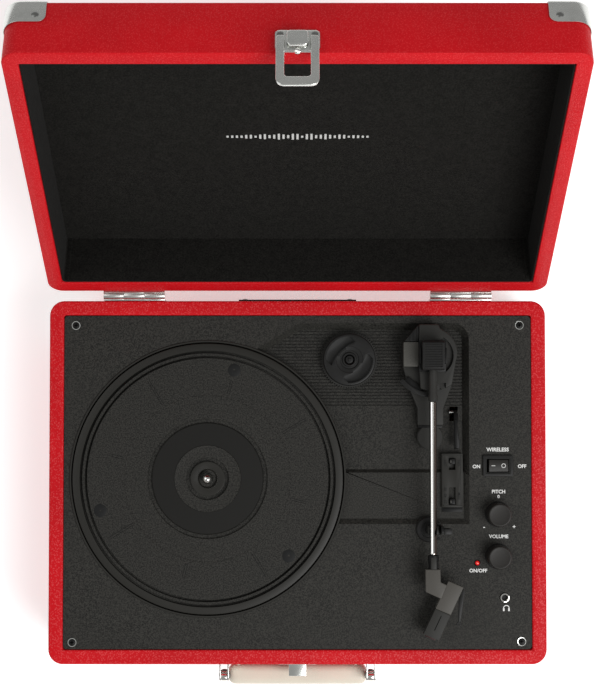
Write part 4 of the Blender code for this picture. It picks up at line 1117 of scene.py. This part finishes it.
def deck_screws():
    """Four countersunk screws in the deck's corners."""
    for index, (x, y) in enumerate(((-158.7, 111.9), (159.0, 112.1), (-160.5, -114.0),
                                    (159.7, -113.4)), 1):
        ring = [(2.5, 0.0), (2.6, 0.25), (3.1, 0.28), (3.25, 0.0), (3.25, -0.4), (2.5, -0.4), (2.5, 0.0)]
        done(turned(f"screw_rim_{index}", ring, (x, y, DECK + 0.05), steps=32), "root",
             "bright_steel")
        head = turned(f"deck_screw_{index}", [(0, 0.55), (1.4, 0.45), (2.3, 0.15), (2.4, -0.4), (0, -0.4)],
                      (x, y, DECK), steps=32)
        crosses = [slab(f"cross_{index}_a", (x - 1.3, x + 1.3), (y - 0.28, y + 0.28), (DECK, DECK + 1)),
                   slab(f"cross_{index}_b", (x - 0.28, x + 0.28), (y - 1.3, y + 1.3), (DECK, DECK + 1))]
        done(carve(head, *crosses), "root", "dark_plastic")


# ---------------------------------------------------------------- platter and adapter

def platter():
    """The platter with its turned steps, eight marks and three rubber pads, and the spindle."""
    top = PLATTER_TOP
    edge = PLATTER_R
    profile = [(3.9, -2.6), (6.0, -2.6), (6.7, -1.6), (6.9, -0.3), (7.2, -0.15), (11.9, -0.15),
               (12.3, -0.4), (12.3, -2.2), (15.1, -2.2), (15.1, -0.2), (15.3, 0), (23.3, 0),
               (23.6, 0.06), (23.9, -0.55), (39.3, -0.6), (39.6, -0.3), (39.9, -0.6), (40.0, -1.6),
               (42.6, -1.6), (42.7, -0.2), (42.9, 0), (58.9, 0), (59.1, 0.14), (59.4, 0.14),
               (59.6, 0), (85.9, 0), (86.1, -0.2), (86.1, -3.0), (87.4, -3.0), (87.5, -0.3),
               (87.7, 0.0), (89.4, 0.0), (89.6, -0.3), (89.6, -3.2), (91.2, -3.2), (91.3, -0.2),
               (91.4, 0), (edge - 0.9, 0), (edge - 0.3, -0.25), (edge, -0.9), (edge, -11.0),
               (edge - 2, -11.0), (edge - 2, -4.5), (60.0, -4.5), (60.0, -11.0), (58.0, -11.0),
               (58.0, -4.5), (9.0, -4.5), (9.0, -11.0), (3.9, -11.0), (3.9, -2.6)]
    disc = turned("platter_disc", [(r, top + h) for r, h in profile], (PLATTER.x, PLATTER.y, 0),
                  steps=160)
    done(disc, "platter", "platter_plastic", ["platter"])
    marks = []
    for k in range(8):
        ends = (62.0, 82.0) if k % 2 == 0 else (62.0, 72.0)
        for side in (-0.75, 0.75):
            mark = slab(f"mark_{k}_{side}", ends, (side - 0.16, side + 0.16), (top - 0.1, top + 0.1),
                        edge=0.05, edge_steps=1)
            mark.matrix_world = (Matrix.Translation((PLATTER.x * MM, PLATTER.y * MM, 0))
                                 @ Matrix.Rotation(math.radians(31.3 + 45 * k), 4, "Z"))
            marks.append(apply_place(mark))
    done(fuse("platter_marks", marks), "platter", "dark_plastic")
    pads = []
    for angle in (76.3, 196.5, 316.5):
        x, y = arc((PLATTER.x, PLATTER.y), 79.7, angle, angle, 2)[0]
        pads.append(turned(f"pad_{angle:.0f}", [(0, -0.5), (0.7, -0.5), (0.9, 0.12), (4.2, 0.2), (4.65, 0.0),
                                                (4.65, -0.5)], (x, y, top), steps=32))
    done(fuse("platter_pads", pads), "platter", "pad_rubber")
    high = local_box("spindle")[1].z
    shaft = [(0, high), (1.3, high - 0.25), (2.5, high - 1.3), (3.2, high - 2.8), (3.6, high - 4.6),
             (3.6, 66.0), (3.0, 65.4), (3.0, 50.0), (0, 50.0)]
    done(turned("spindle_shaft", shaft, (PLATTER.x, PLATTER.y, 0)), "platter", "chrome", ["spindle"])


def adapter():
    """The 45 rpm adapter: toothed flange, stepped disc and two crescent finger hollows."""
    low, high = local_box("adapter_45")
    x, y = ADAPTER.x, ADAPTER.y
    teeth = 72
    rim = []
    for i in range(teeth):
        for share, radius in ((0.0, 20.55), (0.45, 20.55), (0.5, 19.7), (0.95, 19.7)):
            angle = math.tau * (i + share) / teeth
            rim.append((x + radius * math.cos(angle), y + radius * math.sin(angle)))
    flange = cutout("adapter_teeth", rim, (low.z, low.z + 2.3))
    carve(flange, drum("flange_bore", 3.6, low.z - 2, low.z + 5, ADAPTER))
    done(flange, "adapter", "grey_plastic")
    top = high.z
    profile = [(3.6, top - 0.4), (4.1, top), (4.9, top), (5.3, top - 1.2), (6.6, top - 1.2), (6.9, top - 0.4),
               (9.4, top - 0.4), (9.7, top), (17.3, top), (18.2, top - 0.3), (18.7, top - 1.1),
               (18.7, low.z + 2.35), (3.6, low.z + 2.35), (3.6, top - 0.4)]
    disc = turned("adapter_disc", profile, (x, y, 0), steps=96)
    hollows = []
    for i, heading in enumerate((135.0, 315.0)):
        outline = arc((x, y), 16.6, heading - 48, heading + 48, 24)
        nearer = arc((x, y), 21.0, heading, heading, 2)[0]
        away = (2 * x - nearer[0], 2 * y - nearer[1])
        inner = arc(away, 29.6, heading + 24, heading - 24, 16)
        hollows.append(cutout(f"hollow_{i}", outline + inner, (top - 2.6, top + 2)))
    carve(disc, *hollows)
    soften(disc, 0.2, 2, 40.0)
    done(disc, "adapter", "black_plastic", ["adapter_45"])


# ---------------------------------------------------------------- tonearm

def arm_base():
    """The arm's plinth: lower body, housing, light block, faceted wedge and round foot."""
    low, high = local_box("tonearm_base")
    x = ARM.x
    outline = [(75.4, 99.8), (75.4, 82.0), (78.5, 70.0), (85.6, 52.5), (85.6, 40.5), (104.2, 40.5),
               (104.2, 52.5), (110.0, 68.0)]
    outline += arc((x, 92.0), 18.0, -20, 70, 12) + [(100.0, 109.0), (84.0, 109.0)]
    body = cutout("arm_plinth", outline, (low.z, 78.0), 0.7, 3)
    bore = drum("yoke_cut", 4.4, low.z - 2, high.z + 2, ARM)
    done(carve(body, bore), "root", "grey_plastic", ["tonearm_base"])
    housing = [(86.4, 99.8), (86.4, 81.0)] + arc((x, ARM.y), 24.6, 250, 305, 10)
    housing += arc((x, 92.0), 17.9, -20, 70, 14) + [(100.0, 112.3), (86.5, 112.3)]
    upper = cutout("pivot_housing", housing, (77.0, high.z), 0.8, 3)
    cavity = cutout("cavity", arc((x, 90.0), 15.2, -52, 58, 16) + arc((x, 90.0), 10.2, 58, -52, 12),
                    (high.z - 3.2, high.z + 2))
    notch = slab("notch", (100.9, 105.4), (66.0, 70.5), (high.z - 2.5, high.z + 2))
    bore = drum("housing_bore", 4.4, 70, high.z + 2, ARM)
    done(carve(upper, cavity, notch, bore), "root", "grey_plastic")
    block = slab("weight_block", (75.4, 86.1), (82.2, 99.6), (77.0, high.z), 0.8, 3, 0.5, 3)
    done(block, "root", "light_grey_plastic")
    wedge = cutout("wedge", [(75.8, 100.0), (86.1, 100.0), (86.1, 111.9)], (77.0, high.z - 0.6), 0.4)
    ribs = [slab(f"wedge_rib_{i}", (84.6 - 2.6 * i, 85.2 - 2.6 * i), (100.6, 109.2 - 3.0 * i),
                 (high.z - 0.7, high.z - 0.2), edge=0.12, edge_steps=1) for i in range(3)]
    done(fuse("housing_wedge", [wedge, *ribs]), "root", "black_plastic")
    lower = cutout("skirt", arc((x, ARM.y), 28.6, 221, 256, 10) + arc((x, ARM.y), 21.6, 256, 221, 10),
                   (77.6, 80.2), 0.4)
    done(lower, "root", "dark_plastic")
    brim = tube("skirt_line", [(*point, 80.4) for point in arc((x, ARM.y), 27.0, 222, 255, 12)], 0.25, 3)
    done(brim, "root", "light_grey_plastic")
    foot = turned("arm_foot", [(0, 75.6), (8.6, 75.6), (9.3, 75.0), (9.3, low.z), (0, low.z)],
                  (x - 0.8, 32.0, 0))
    done(foot, "root", "grey_plastic")
    band = slab("foot_band", (86.2, 103.6), (38.6, 41.2), (low.z, 76.2), edge=0.3)
    done(band, "root", "dark_plastic")


def pivot():
    """The yoke, and the ribbed cap with its sleeve, in a dark frame."""
    refined("tonearm_yoke", "dark_plastic", 0.2)
    high = local_box("pivot_cap")[1]
    x, y = ARM.x, ARM.y
    front = y - 10.2
    cap = refined("pivot_cap", "black_plastic", 0.4, 3)
    grooves = []
    for i in range(10):
        groove = slab(f"cap_groove_{i}", (x - 6.1, x + 6.1),
                      (front + 2.0 + 1.75 * i, front + 2.8 + 1.75 * i), (high.z - 0.8, high.z + 1))
        groove.matrix_world = MIDDLE
        grooves.append(apply_place(groove))
    carve(cap, *grooves)
    sleeve_end = local_box("tonearm_tube")[1].y + GAP
    reach = front - sleeve_end
    sleeve = [(0, reach), (2.9, reach), (3.25, reach - 0.4), (3.25, reach - 4), (3.05, reach - 5),
              (3.05, -1.5), (0, -1.5)]
    done(turned("arm_sleeve", sleeve, (x, front, ARM.z), "front", 40), "arm", "grey_plastic")


def arm_tube():
    """The bright tube, with a rolled bead at its front end."""
    low, high = local_box("tonearm_tube")
    length = high.y - low.y
    profile = [(0, length), (2.3, length), (2.5, length - 0.3), (2.5, 1.8), (2.62, 1.4), (2.62, 0.6),
               (2.4, 0.0), (0, 0)]
    done(turned("arm_rod", profile, (ARM.x, high.y - length, ARM.z), "back", 48), "arm",
         "tube_chrome", ["tonearm_tube"])


def headshell():
    """The bent shell in two tones, its ferrule, finger lift and the cartridge below."""
    x, z = ARM.x, ARM.z
    elbow = [(89.9, -60.6), (100.4, -60.6), (100.6, -69.6), (105.0, -71.6), (101.0, -81.4), (98.6, -80.2),
             (89.9, -76.3)]
    done(cutout("shell_elbow", elbow, (z - 4.2, z + 3.0), 0.6, 3), "arm", "shell_plastic", ["headshell"])
    top_left, top_right = Vector((106.0, -68.7)), Vector((116.7, -73.2))
    tip_right, tip_left = Vector((99.2, -110.6)), Vector((88.3, -105.9))
    split = 0.52
    mid_left = top_left.lerp(tip_left, split)
    mid_right = top_right.lerp(tip_right, split)
    upper = [tuple(p) for p in (top_left, top_right, mid_right, mid_left)]
    lower = [tuple(p) for p in (mid_left, mid_right, tip_right, tip_left)]
    done(cutout("shell_upper", upper, (z - 5.0, z + 2.4), 0.55, 3), "arm", "shell_plastic")
    lower_piece = cutout("shell_lower", lower, (z - 5.0, z + 2.0), 0.55, 3)
    along = (tip_left - top_left).normalized()
    across = Vector((-along.y, along.x))
    start = (mid_left + mid_right) / 2 + along * 3.0
    stop = (tip_left + tip_right) / 2 - along * 5.5
    groove = [start + across * 0.35, stop + across * 0.35, stop - across * 0.35, start - across * 0.35]
    carve(lower_piece, cutout("shell_groove", [tuple(p) for p in groove], (z + 1.1, z + 4)))
    done(lower_piece, "arm", "grey_plastic")
    band = [(0, 10.2), (3.4, 10.2), (3.9, 9.8), (3.9, 6.4), (3.6, 6.0), (3.6, 0.6), (3.3, 0.2), (0, 0.2)]
    done(turned("shell_ferrule", band, (x, -61.0, z), "back", 40), "arm", "dark_plastic")
    stripe = slab("ferrule_flat", (x - 1.9, x + 1.9), (-60.6, -52.2), (z + 2.9, z + 4.0), edge=0.25)
    done(stripe, "arm", "grey_plastic")
    blade = [(114.3, -76.0), (116.6, -74.0), (117.6, -76.6), (114.4, -98.2), (112.7, -98.2), (113.4, -84.0)]
    lift = cutout("finger_blade", blade, (z - 0.7, z + 0.7), 0.3)
    ring = turned("finger_ring", [(0.7, 0.9), (1.5, 0.9), (1.7, 0.6), (1.7, -0.6), (1.5, -0.9), (0.7, -0.9),
                                  (0.7, 0.9)], (113.5, -99.0, z), steps=24)
    done(fuse("finger_lift", [lift, ring]), "arm", "black_plastic")
    refined("cartridge", "black_plastic", 0.25)
    centre = (tip_left + tip_right) / 2
    nose = [centre + across * dx + along * dy for dx, dy in ((-4, 1.1), (4, 1.1), (4, -2), (-4, -2))]
    done(cutout("cartridge_nose", [tuple(p) for p in nose], (z - 8.6, z - 3.0), 0.4), "arm",
         "maroon_plastic")


def arm_rest():
    """The rest's turned foot and post, and the clip beside it."""
    top = DECK + 0.6
    high = local_box("arm_rest")[1]
    foot = [(0, top + 1.4), (3.0, top + 1.4), (3.2, top + 1.9), (4.4, top + 1.9), (4.6, top + 1.0),
            (5.8, top + 1.0), (6.0, top + 2.0), (8.4, top + 2.0), (9.2, top + 1.2), (9.2, top), (0, top)]
    done(turned("rest_foot", foot, (REST.x - 0.3, REST.y, 0)), "root", "black_plastic")
    post = slab("rest_post", (ARM.x - 3.6, ARM.x + 4.2), (REST.y - 3, REST.y + 3),
                (top + 1, ARM.z - 2.9), edge=0.5, edge_steps=3)
    ear = slab("rest_ear", (high.x - 2.0, high.x), (REST.y - 3, REST.y + 3), (top + 1, high.z), edge=0.4)
    arms = [slab(f"rest_bar_{i}", (ARM.x + 3.0, REST.x + 7.6), (REST.y + dy - 0.7, REST.y + dy + 0.7),
                 (top + 1.6, top + 3.4), edge=0.3) for i, dy in enumerate((-4.2, 4.2))]
    done(fuse("rest_stand", [post, ear, *arms]), "root", "grey_plastic", ["arm_rest"])
    refined("arm_rest_clip", "black_plastic", 0.3)


def cueing():
    """The cueing lever and the curved lift."""
    refined("cue_lever", "dark_plastic", 0.3)
    refined("cue_lift", "black_plastic", 0.3)
    pin = turned("lever_pin", [(0, 3.2), (1.0, 3.2), (1.2, 2.9), (1.2, -2.9), (1.0, -3.2), (0, -3.2)],
                 (axis_of("cue_lever_swing").x - 0.6, axis_of("cue_lever_swing").y + 1.2, 70.8), "right", 20)
    done(pin, "root", "dark_steel")
    high = local_box("cue_lever")[1].z
    blade = cutout("lever_blade", [(112.1, 44.5), (113.9, 44.5), (115.8, 26.5), (115.3, 24.0), (112.9, 24.0),
                                   (112.2, 27.0)], (high - 1.8, high + 0.3), 0.3)
    done(blade, "cue_lever", "dark_plastic")


# ---------------------------------------------------------------- controls

def knobs():
    """The pitch and volume knobs: slightly dished tops, turned edge rings, ribbed skirts."""
    for name, place in (("pitch", PITCH), ("volume", VOLUME)):
        low, high = local_box(f"{name}_knob")
        radius = (high.x - low.x) / 2
        top = high.z
        profile = [(0, top - 0.5), (4.5, top - 0.35), (6.8, top - 0.1), (7.3, top), (7.7, top - 0.15),
                   (7.9, top - 0.7), (8.15, top - 0.9), (8.4, top - 1.6), (8.5, top - 2.6),
                   (8.5, low.z + 0.8), (radius, low.z + 0.6), (radius, low.z), (3.3, low.z),
                   (3.3, top - 4.4), (0, top - 4.4)]
        body = turned(f"{name}_body", profile, (place.x, place.y, 0), steps=96)
        # painted shadow: a thin near-black ring laid flat on the deck round each knob's foot
        painted_shadow_ring = [(4.2, 0.0), (9.35, 0.0), (9.35, 0.14), (4.2, 0.14), (4.2, 0.0)]
        done(turned(f"{name}_gap", painted_shadow_ring, (place.x, place.y, DECK), steps=64), "root", "dark_plastic")
        ribs = []
        for i in range(48):
            rib = slab(f"{name}_rib_{i}", (8.35, 8.68), (-0.16, 0.16), (low.z + 1.2, top - 3.0))
            rib.matrix_world = (Matrix.Translation((place.x * MM, place.y * MM, 0))
                                @ Matrix.Rotation(math.tau * i / 48, 4, "Z"))
            ribs.append(apply_place(rib))
        done(fuse(f"{name}_dial", [body, *ribs]), f"{name}_knob", "knob_plastic", [f"{name}_knob"])


def rocker():
    """The rocker's bezel and key, with its two marks."""
    low, high = local_box("rocker_frame")
    bezel = slab("rocker_bezel", (low.x, high.x), (low.y, high.y), (DECK + GAP, high.z), 0.8, 3, 0.4)
    carve(bezel, slab("rocker_step", (low.x + 2.0, high.x - 2.0), (low.y + 1.9, high.y - 1.9),
                      (high.z - 0.7, high.z + 3), 0.5, 3),
          slab("rocker_well", (ROCKER.x - 7.9, ROCKER.x + 7.9), (ROCKER.y - 4.8, ROCKER.y + 4.8),
               (DECK - 8, DECK + 9)))
    soften(bezel, 0.12, 1, 40.0)
    done(bezel, "root", "black_plastic", ["rocker_frame"])
    refined("rocker", "knob_plastic", 0.35)
    tilt = math.radians(JOINTS["rocker_tilt"]["range_deg"][1] / 2)
    turn = (Matrix.Translation(axis_of("rocker_tilt") * MM) @ Matrix.Rotation(tilt, 4, "Y"))
    slope = math.atan2(1.4, 7.2)
    rise = 3.05
    dash = slab("rocker_dash", (-1.5, 1.5), (-0.22, 0.22), (0, 0.12))
    dash.matrix_world = (turn @ Matrix.Translation((-3.9 * MM, 0, rise * MM))
                         @ Matrix.Rotation(slope, 4, "Y"))
    circle = turned("rocker_ring", [(1.15, 0.12), (1.6, 0.12), (1.6, 0), (1.15, 0), (1.15, 0.12)], (0, 0, 0),
                    steps=32)
    circle.matrix_world = (turn @ Matrix.Translation((3.7 * MM, 0, rise * MM))
                           @ Matrix.Rotation(-slope, 4, "Y"))
    done(fuse("rocker_marks", [apply_place(dash), apply_place(circle)]), "rocker", "silver_ink")


def switch_plate():
    """The plate with its raised border, dark slots, sliders with a painted glint on each, small embossed
    figures and a painted shadow strip in front of the plate.
    """
    low, high = local_box("switch_plate")
    refined("switch_plate", "smooth_deck", 0.25)
    border = []
    thick = 0.55
    for i, (x, y) in enumerate((((low.x + 1.0, high.x - 1.0), (low.y + 1.2, low.y + 1.2 + thick)),
                                ((low.x + 1.0, high.x - 1.0), (high.y - 0.9 - thick, high.y - 0.9)),
                                ((low.x + 1.0, low.x + 1.0 + thick), (low.y + 1.2, high.y - 0.9)),
                                ((high.x - 1.0 - thick, high.x - 1.0), (low.y + 1.2, high.y - 0.9)))):
        border.append(slab(f"border_{i}", x, y, (high.z - 0.1, high.z + 0.22), edge=0.1, edge_steps=1))
    done(fuse("switch_border", border), "root", "grey_plastic")
    figures = []
    for i, (text, x, y) in enumerate((("OFF", -4.9, 13.5), ("ON", 4.9, 13.5), ("33", -4.9, -14.2),
                                      ("45", -4.9, -9.8), ("78", -4.9, -5.4), ("RPM", 4.9, -10.0))):
        figures.append(lettering(f"figure_{i}", text, (SWITCH.x + x, y, high.z), 2.7, 90.0, 0.1, 0.03))
    done(fuse("switch_figures", figures), "root", "dark_plastic")
    for name in ("autostop_slider", "speed_slider"):
        refined(name, "dark_plastic", 0.3)
        middle = local_middle(name)
        # painted highlight: a small light-grey block on each slider's top stands for a glint
        top = local_box(name)[1].z
        glint = slab(f"{name}_key", (middle.x - 1.5, middle.x - 0.7), (middle.y - 0.9, middle.y + 0.9),
                     (top - 0.1, top + 0.18), edge=0.1)
        done(glint, name, "light_grey_plastic")
    # painted shadow: a thin dark strip laid on the floor in front of the plate's lower edge
    painted_shadow_strip = slab("plate_painted_shadow", (low.x + 0.2, high.x - 0.2), (low.y - 3.2, low.y - 0.2),
                (MID_FLOOR, MID_FLOOR + 0.25), edge=0.1)
    done(painted_shadow_strip, "root", "dark_plastic")


def light_and_jack():
    """The lit lens in its collar, the headphone socket, and a headphone mark in white."""
    lens = [(0, 1.5), (0.8, 1.35), (1.35, 0.9), (1.55, 0.2), (1.55, -4.0), (0, -4.0)]
    done(turned("power_lens", lens, (LED.x, LED.y, DECK), steps=32), "root", "red_lens", ["power_led"])
    ring = [(1.75, 0.2), (1.95, 0.42), (2.4, 0.3), (2.5, 0.0), (1.75, 0.0), (1.75, 0.2)]
    done(turned("lens_collar", ring, (LED.x, LED.y, DECK + 0.02), steps=32), "root", "dark_plastic")
    profile = [(1.8, 0.3), (2.3, 1.2), (2.8, 1.45), (3.1, 1.4), (3.35, 1.0), (3.4, 0.3), (3.3, -13.0),
               (1.8, -13.0), (1.8, 0.3)]
    done(turned("jack_barrel", profile, (JACK.x, JACK.y, DECK), steps=48), "root", "chrome",
         ["headphone_jack"])
    bore = turned("jack_bore", [(0, -1.6), (1.78, -1.6), (1.78, -2.4), (0, -2.4)], (JACK.x, JACK.y, DECK),
                  steps=32)
    done(bore, "root", "dark_plastic")
    x, y = JACK.x + 1.1, JACK.y - 7.5
    band = cutout("band", arc((x, y), 2.3, 0, 180, 14) + arc((x, y), 1.75, 180, 0, 12),
                  (DECK, DECK + 0.06))
    cups = [slab(f"cup_{i}", (x + dx - 0.55, x + dx + 0.55), (y - 2.0, y + 0.2), (DECK, DECK + 0.06), 0.3, 3)
            for i, dx in enumerate((-1.85, 1.85))]
    done(fuse("headphone_mark", [band, *cups]), "root", "white_ink")


def legends():
    """The words and signs beside the controls."""
    signs = (("WIRELESS", ROCKER.x, ROCKER.y + 11.4, 3.7), ("ON", ROCKER.x - 15.2, ROCKER.y - 0.7, 3.5),
             ("OFF", ROCKER.x + 17.4, ROCKER.y - 0.5, 3.5), ("PITCH", PITCH.x + 0.4, PITCH.y + 16.1, 3.5),
             ("0", PITCH.x + 0.4, PITCH.y + 12.6, 3.2), ("-", PITCH.x - 10.0, PITCH.y - 8.9, 4.4),
             ("+", PITCH.x + 11.4, PITCH.y - 8.9, 4.0), ("VOLUME", VOLUME.x + 0.4, VOLUME.y + 14.1, 3.5),
             ("ON/OFF", LED.x + 0.6, LED.y - 5.5, 3.5))
    words = [lettering(f"word_{i}", text, (x, y, DECK), size)
             for i, (text, x, y, size) in enumerate(signs)]
    done(fuse("deck_legends", words), "root", "white_ink")


# ---------------------------------------------------------------- back and insides

def rear_panel():
    """The socket panel at the back, with bright collars and coloured sleeves."""
    refined("rear_panel", "black_plastic", 0.4)
    low, high = local_box("rear_panel")
    socket_z = (low.z + high.z) / 2
    back = HALF_Y + 1.8
    for i, (x, finish) in enumerate(((4.0, "white_ink"), (20.0, "red_vinyl"))):
        sleeve = turned(f"socket_sleeve_{i}", [(3.9, 0.0), (5.4, 0.0), (5.3, 0.35), (4.1, 0.45), (3.9, 0.3),
                                               (3.9, 0.0)], (x, back, socket_z), "back", 32)
        done(sleeve, "root", finish)
        collar = turned(f"socket_collar_{i}", [(1.7, 0.0), (3.6, 0.0), (3.5, 0.4), (3.2, 0.6), (1.7, 0.6),
                                               (1.7, 0.0)], (x, back, socket_z), "back", 32)
        done(collar, "root", "chrome")
    heads = [dome(f"panel_screw_{i}", 2.4, 0.9, (x, back, z), "back")
             for i, (x, z) in enumerate((x, z) for x in (-38, 38) for z in (low.z + 5, high.z - 5))]
    done(fuse("panel_screws", heads), "root", "dark_steel")


def inner_parts():
    """Finishes for the pieces inside, which keep their own shapes."""
    for node, finish in (("motor", "drawn_steel"), ("motor_pulley", "bright_steel"),
                         ("spindle_bearing", "bright_steel"), ("drive_belt", "rubber"),
                         ("amplifier_board", "circuit_board")):
        dress(node, finish)


# ---------------------------------------------------------------- stage

def camera_and_light():
    """The camera over the deck, a pale floor and soft lights."""
    stage = bpy.context.scene.record_player_stage
    scene = bpy.context.scene
    scene.view_settings.view_transform = "Standard"
    deselect()
    bpy.ops.object.camera_add(location=(0.0, -0.0293, 1.375), rotation=(math.radians(2.31), 0, 0))
    camera = bpy.context.object
    camera.name = "camera"
    camera.data.lens = 95.0
    camera.data.sensor_width = 36.0
    scene.camera = camera
    bpy.ops.mesh.primitive_plane_add(size=8.0, location=(0, 0, -0.0002))
    floor = named("floor")
    graph = Graph("floor_paper", tuple(stage.floor), 0.9, Specular_IOR_Level=0.1,
                  Emission_Color=(1.0, 1.0, 1.0, 1.0), Emission_Strength=0.42)
    graph.set("Base Color", graph.mix(graph.noise(0.3), scaled(stage.floor, 0.995), tuple(stage.floor)))
    floor.data.materials.append(graph.material)
    world = bpy.data.worlds.new("surround")
    world.use_nodes = True
    world.node_tree.nodes["Background"].inputs[0].default_value = (1.0, 0.995, 0.985, 1.0)
    world.node_tree.nodes["Background"].inputs[1].default_value = stage.sky
    scene.world = world
    for name, place, size, power in (("key_light", (0.85, -0.75, 1.5), 1.1, stage.key),
                                     ("fill_light", (-1.2, 0.3, 1.3), 1.2, stage.fill)):
        bpy.ops.object.light_add(type="AREA", location=place)
        light = bpy.context.object
        light.name = name
        light.data.shape = "SQUARE"
        light.data.size = size
        light.data.energy = power
        light.rotation_euler = (-Vector(place)).to_track_quat("-Z", "Y").to_euler()


# ---------------------------------------------------------------- operators and panel

class RECORDPLAYER_OT_finishes(bpy.types.Operator):
    """Make every material"""

    bl_idname = "record_player.finishes"
    bl_label = "Make Finishes"

    def execute(self, context):
        make_finishes()
        return {"FINISHED"}


class RECORDPLAYER_OT_case(bpy.types.Operator):
    """Wrap the base, with its rim, bottom board, feet and speaker grilles"""

    bl_idname = "record_player.case"
    bl_label = "Base Case"

    def execute(self, context):
        case_shell()
        rim_seams("case_folds", RIM - 0.12, "root", False)
        base_underside()
        speaker_fronts()
        return {"FINISHED"}


class RECORDPLAYER_OT_lid(bpy.types.Operator):
    """Wrap and line the lid"""

    bl_idname = "record_player.lid"
    bl_label = "Lid"

    def execute(self, context):
        lid_shell()
        rim_seams("lid_folds", LID_RIM + 0.12, "lid", True)
        lid_lining()
        return {"FINISHED"}


class RECORDPLAYER_OT_corners(bpy.types.Operator):
    """Press and rivet the eight corner protectors"""

    bl_idname = "record_player.corners"
    bl_label = "Corner Protectors"

    def execute(self, context):
        corner_protectors()
        return {"FINISHED"}


class RECORDPLAYER_OT_hinges(bpy.types.Operator):
    """Finish the hinges"""

    bl_idname = "record_player.hinges"
    bl_label = "Hinges"

    def execute(self, context):
        hinges()
        return {"FINISHED"}


class RECORDPLAYER_OT_latch(bpy.types.Operator):
    """Model the latch, its catch and the handle's brackets"""

    bl_idname = "record_player.latch"
    bl_label = "Latch"

    def execute(self, context):
        latch()
        catch_and_brackets()
        return {"FINISHED"}


class RECORDPLAYER_OT_handle(bpy.types.Operator):
    """Model the carrying handle"""

    bl_idname = "record_player.handle"
    bl_label = "Handle"

    def execute(self, context):
        handle()
        return {"FINISHED"}


class RECORDPLAYER_OT_deck(bpy.types.Operator):
    """Mould the deck and set its screws"""

    bl_idname = "record_player.deck"
    bl_label = "Deck"

    def execute(self, context):
        deck()
        deck_screws()
        return {"FINISHED"}


class RECORDPLAYER_OT_platter(bpy.types.Operator):
    """Turn the platter and spindle"""

    bl_idname = "record_player.platter"
    bl_label = "Platter"

    def execute(self, context):
        platter()
        return {"FINISHED"}


class RECORDPLAYER_OT_adapter(bpy.types.Operator):
    """Model the 45 rpm adapter"""

    bl_idname = "record_player.adapter"
    bl_label = "45 Adapter"

    def execute(self, context):
        adapter()
        return {"FINISHED"}


class RECORDPLAYER_OT_tonearm(bpy.types.Operator):
    """Model the tonearm, its base, rest and cueing lever"""

    bl_idname = "record_player.tonearm"
    bl_label = "Tonearm"

    def execute(self, context):
        arm_base()
        pivot()
        arm_tube()
        headshell()
        arm_rest()
        cueing()
        return {"FINISHED"}


class RECORDPLAYER_OT_controls(bpy.types.Operator):
    """Model the knobs, switches, light, socket and legends"""

    bl_idname = "record_player.controls"
    bl_label = "Controls"

    def execute(self, context):
        knobs()
        rocker()
        switch_plate()
        light_and_jack()
        legends()
        return {"FINISHED"}


class RECORDPLAYER_OT_back(bpy.types.Operator):
    """Finish the socket panel and the parts inside"""

    bl_idname = "record_player.back"
    bl_label = "Back and Insides"

    def execute(self, context):
        rear_panel()
        inner_parts()
        return {"FINISHED"}


class RECORDPLAYER_OT_stage(bpy.types.Operator):
    """Set the camera, floor and lights"""

    bl_idname = "record_player.stage"
    bl_label = "Stage"

    def execute(self, context):
        camera_and_light()
        return {"FINISHED"}


OPERATORS = (RECORDPLAYER_OT_finishes, RECORDPLAYER_OT_case, RECORDPLAYER_OT_lid,
             RECORDPLAYER_OT_corners, RECORDPLAYER_OT_hinges, RECORDPLAYER_OT_latch,
             RECORDPLAYER_OT_handle, RECORDPLAYER_OT_deck, RECORDPLAYER_OT_platter,
             RECORDPLAYER_OT_adapter, RECORDPLAYER_OT_tonearm, RECORDPLAYER_OT_controls,
             RECORDPLAYER_OT_back, RECORDPLAYER_OT_stage)


class RECORDPLAYER_PT_panel(bpy.types.Panel):
    """Sizes, colours and one button for each group of pieces"""

    bl_idname = "RECORDPLAYER_PT_panel"
    bl_label = "Record Player"
    bl_space_type = "VIEW_3D"
    bl_region_type = "UI"
    bl_category = "Record Player"

    def draw(self, context):
        for settings in (context.scene.record_player_sizes, context.scene.record_player_colours,
                         context.scene.record_player_stage):
            box = self.layout.box()
            for name in settings.__annotations__:
                box.prop(settings, name)
        for operator in OPERATORS:
            self.layout.operator(operator.bl_idname)


SETTINGS = {"record_player_sizes": CaseSizes, "record_player_colours": FinishColours,
            "record_player_stage": StageSettings}
CLASSES = (*SETTINGS.values(), *OPERATORS, RECORDPLAYER_PT_panel)


def register():
    """Register the classes and hang the settings on the scene."""
    for cls in CLASSES:
        bpy.utils.register_class(cls)
    for name, group in SETTINGS.items():
        setattr(bpy.types.Scene, name, bpy.props.PointerProperty(type=group))


def unregister():
    """Undo register."""
    for name in SETTINGS:
        delattr(bpy.types.Scene, name)
    for cls in reversed(CLASSES):
        bpy.utils.unregister_class(cls)


def main():
    """Make every group of pieces in order."""
    register()
    for operator in OPERATORS:
        group, name = operator.bl_idname.split(".")
        getattr(getattr(bpy.ops, group), name)()


if __name__ == "__main__":
    main()
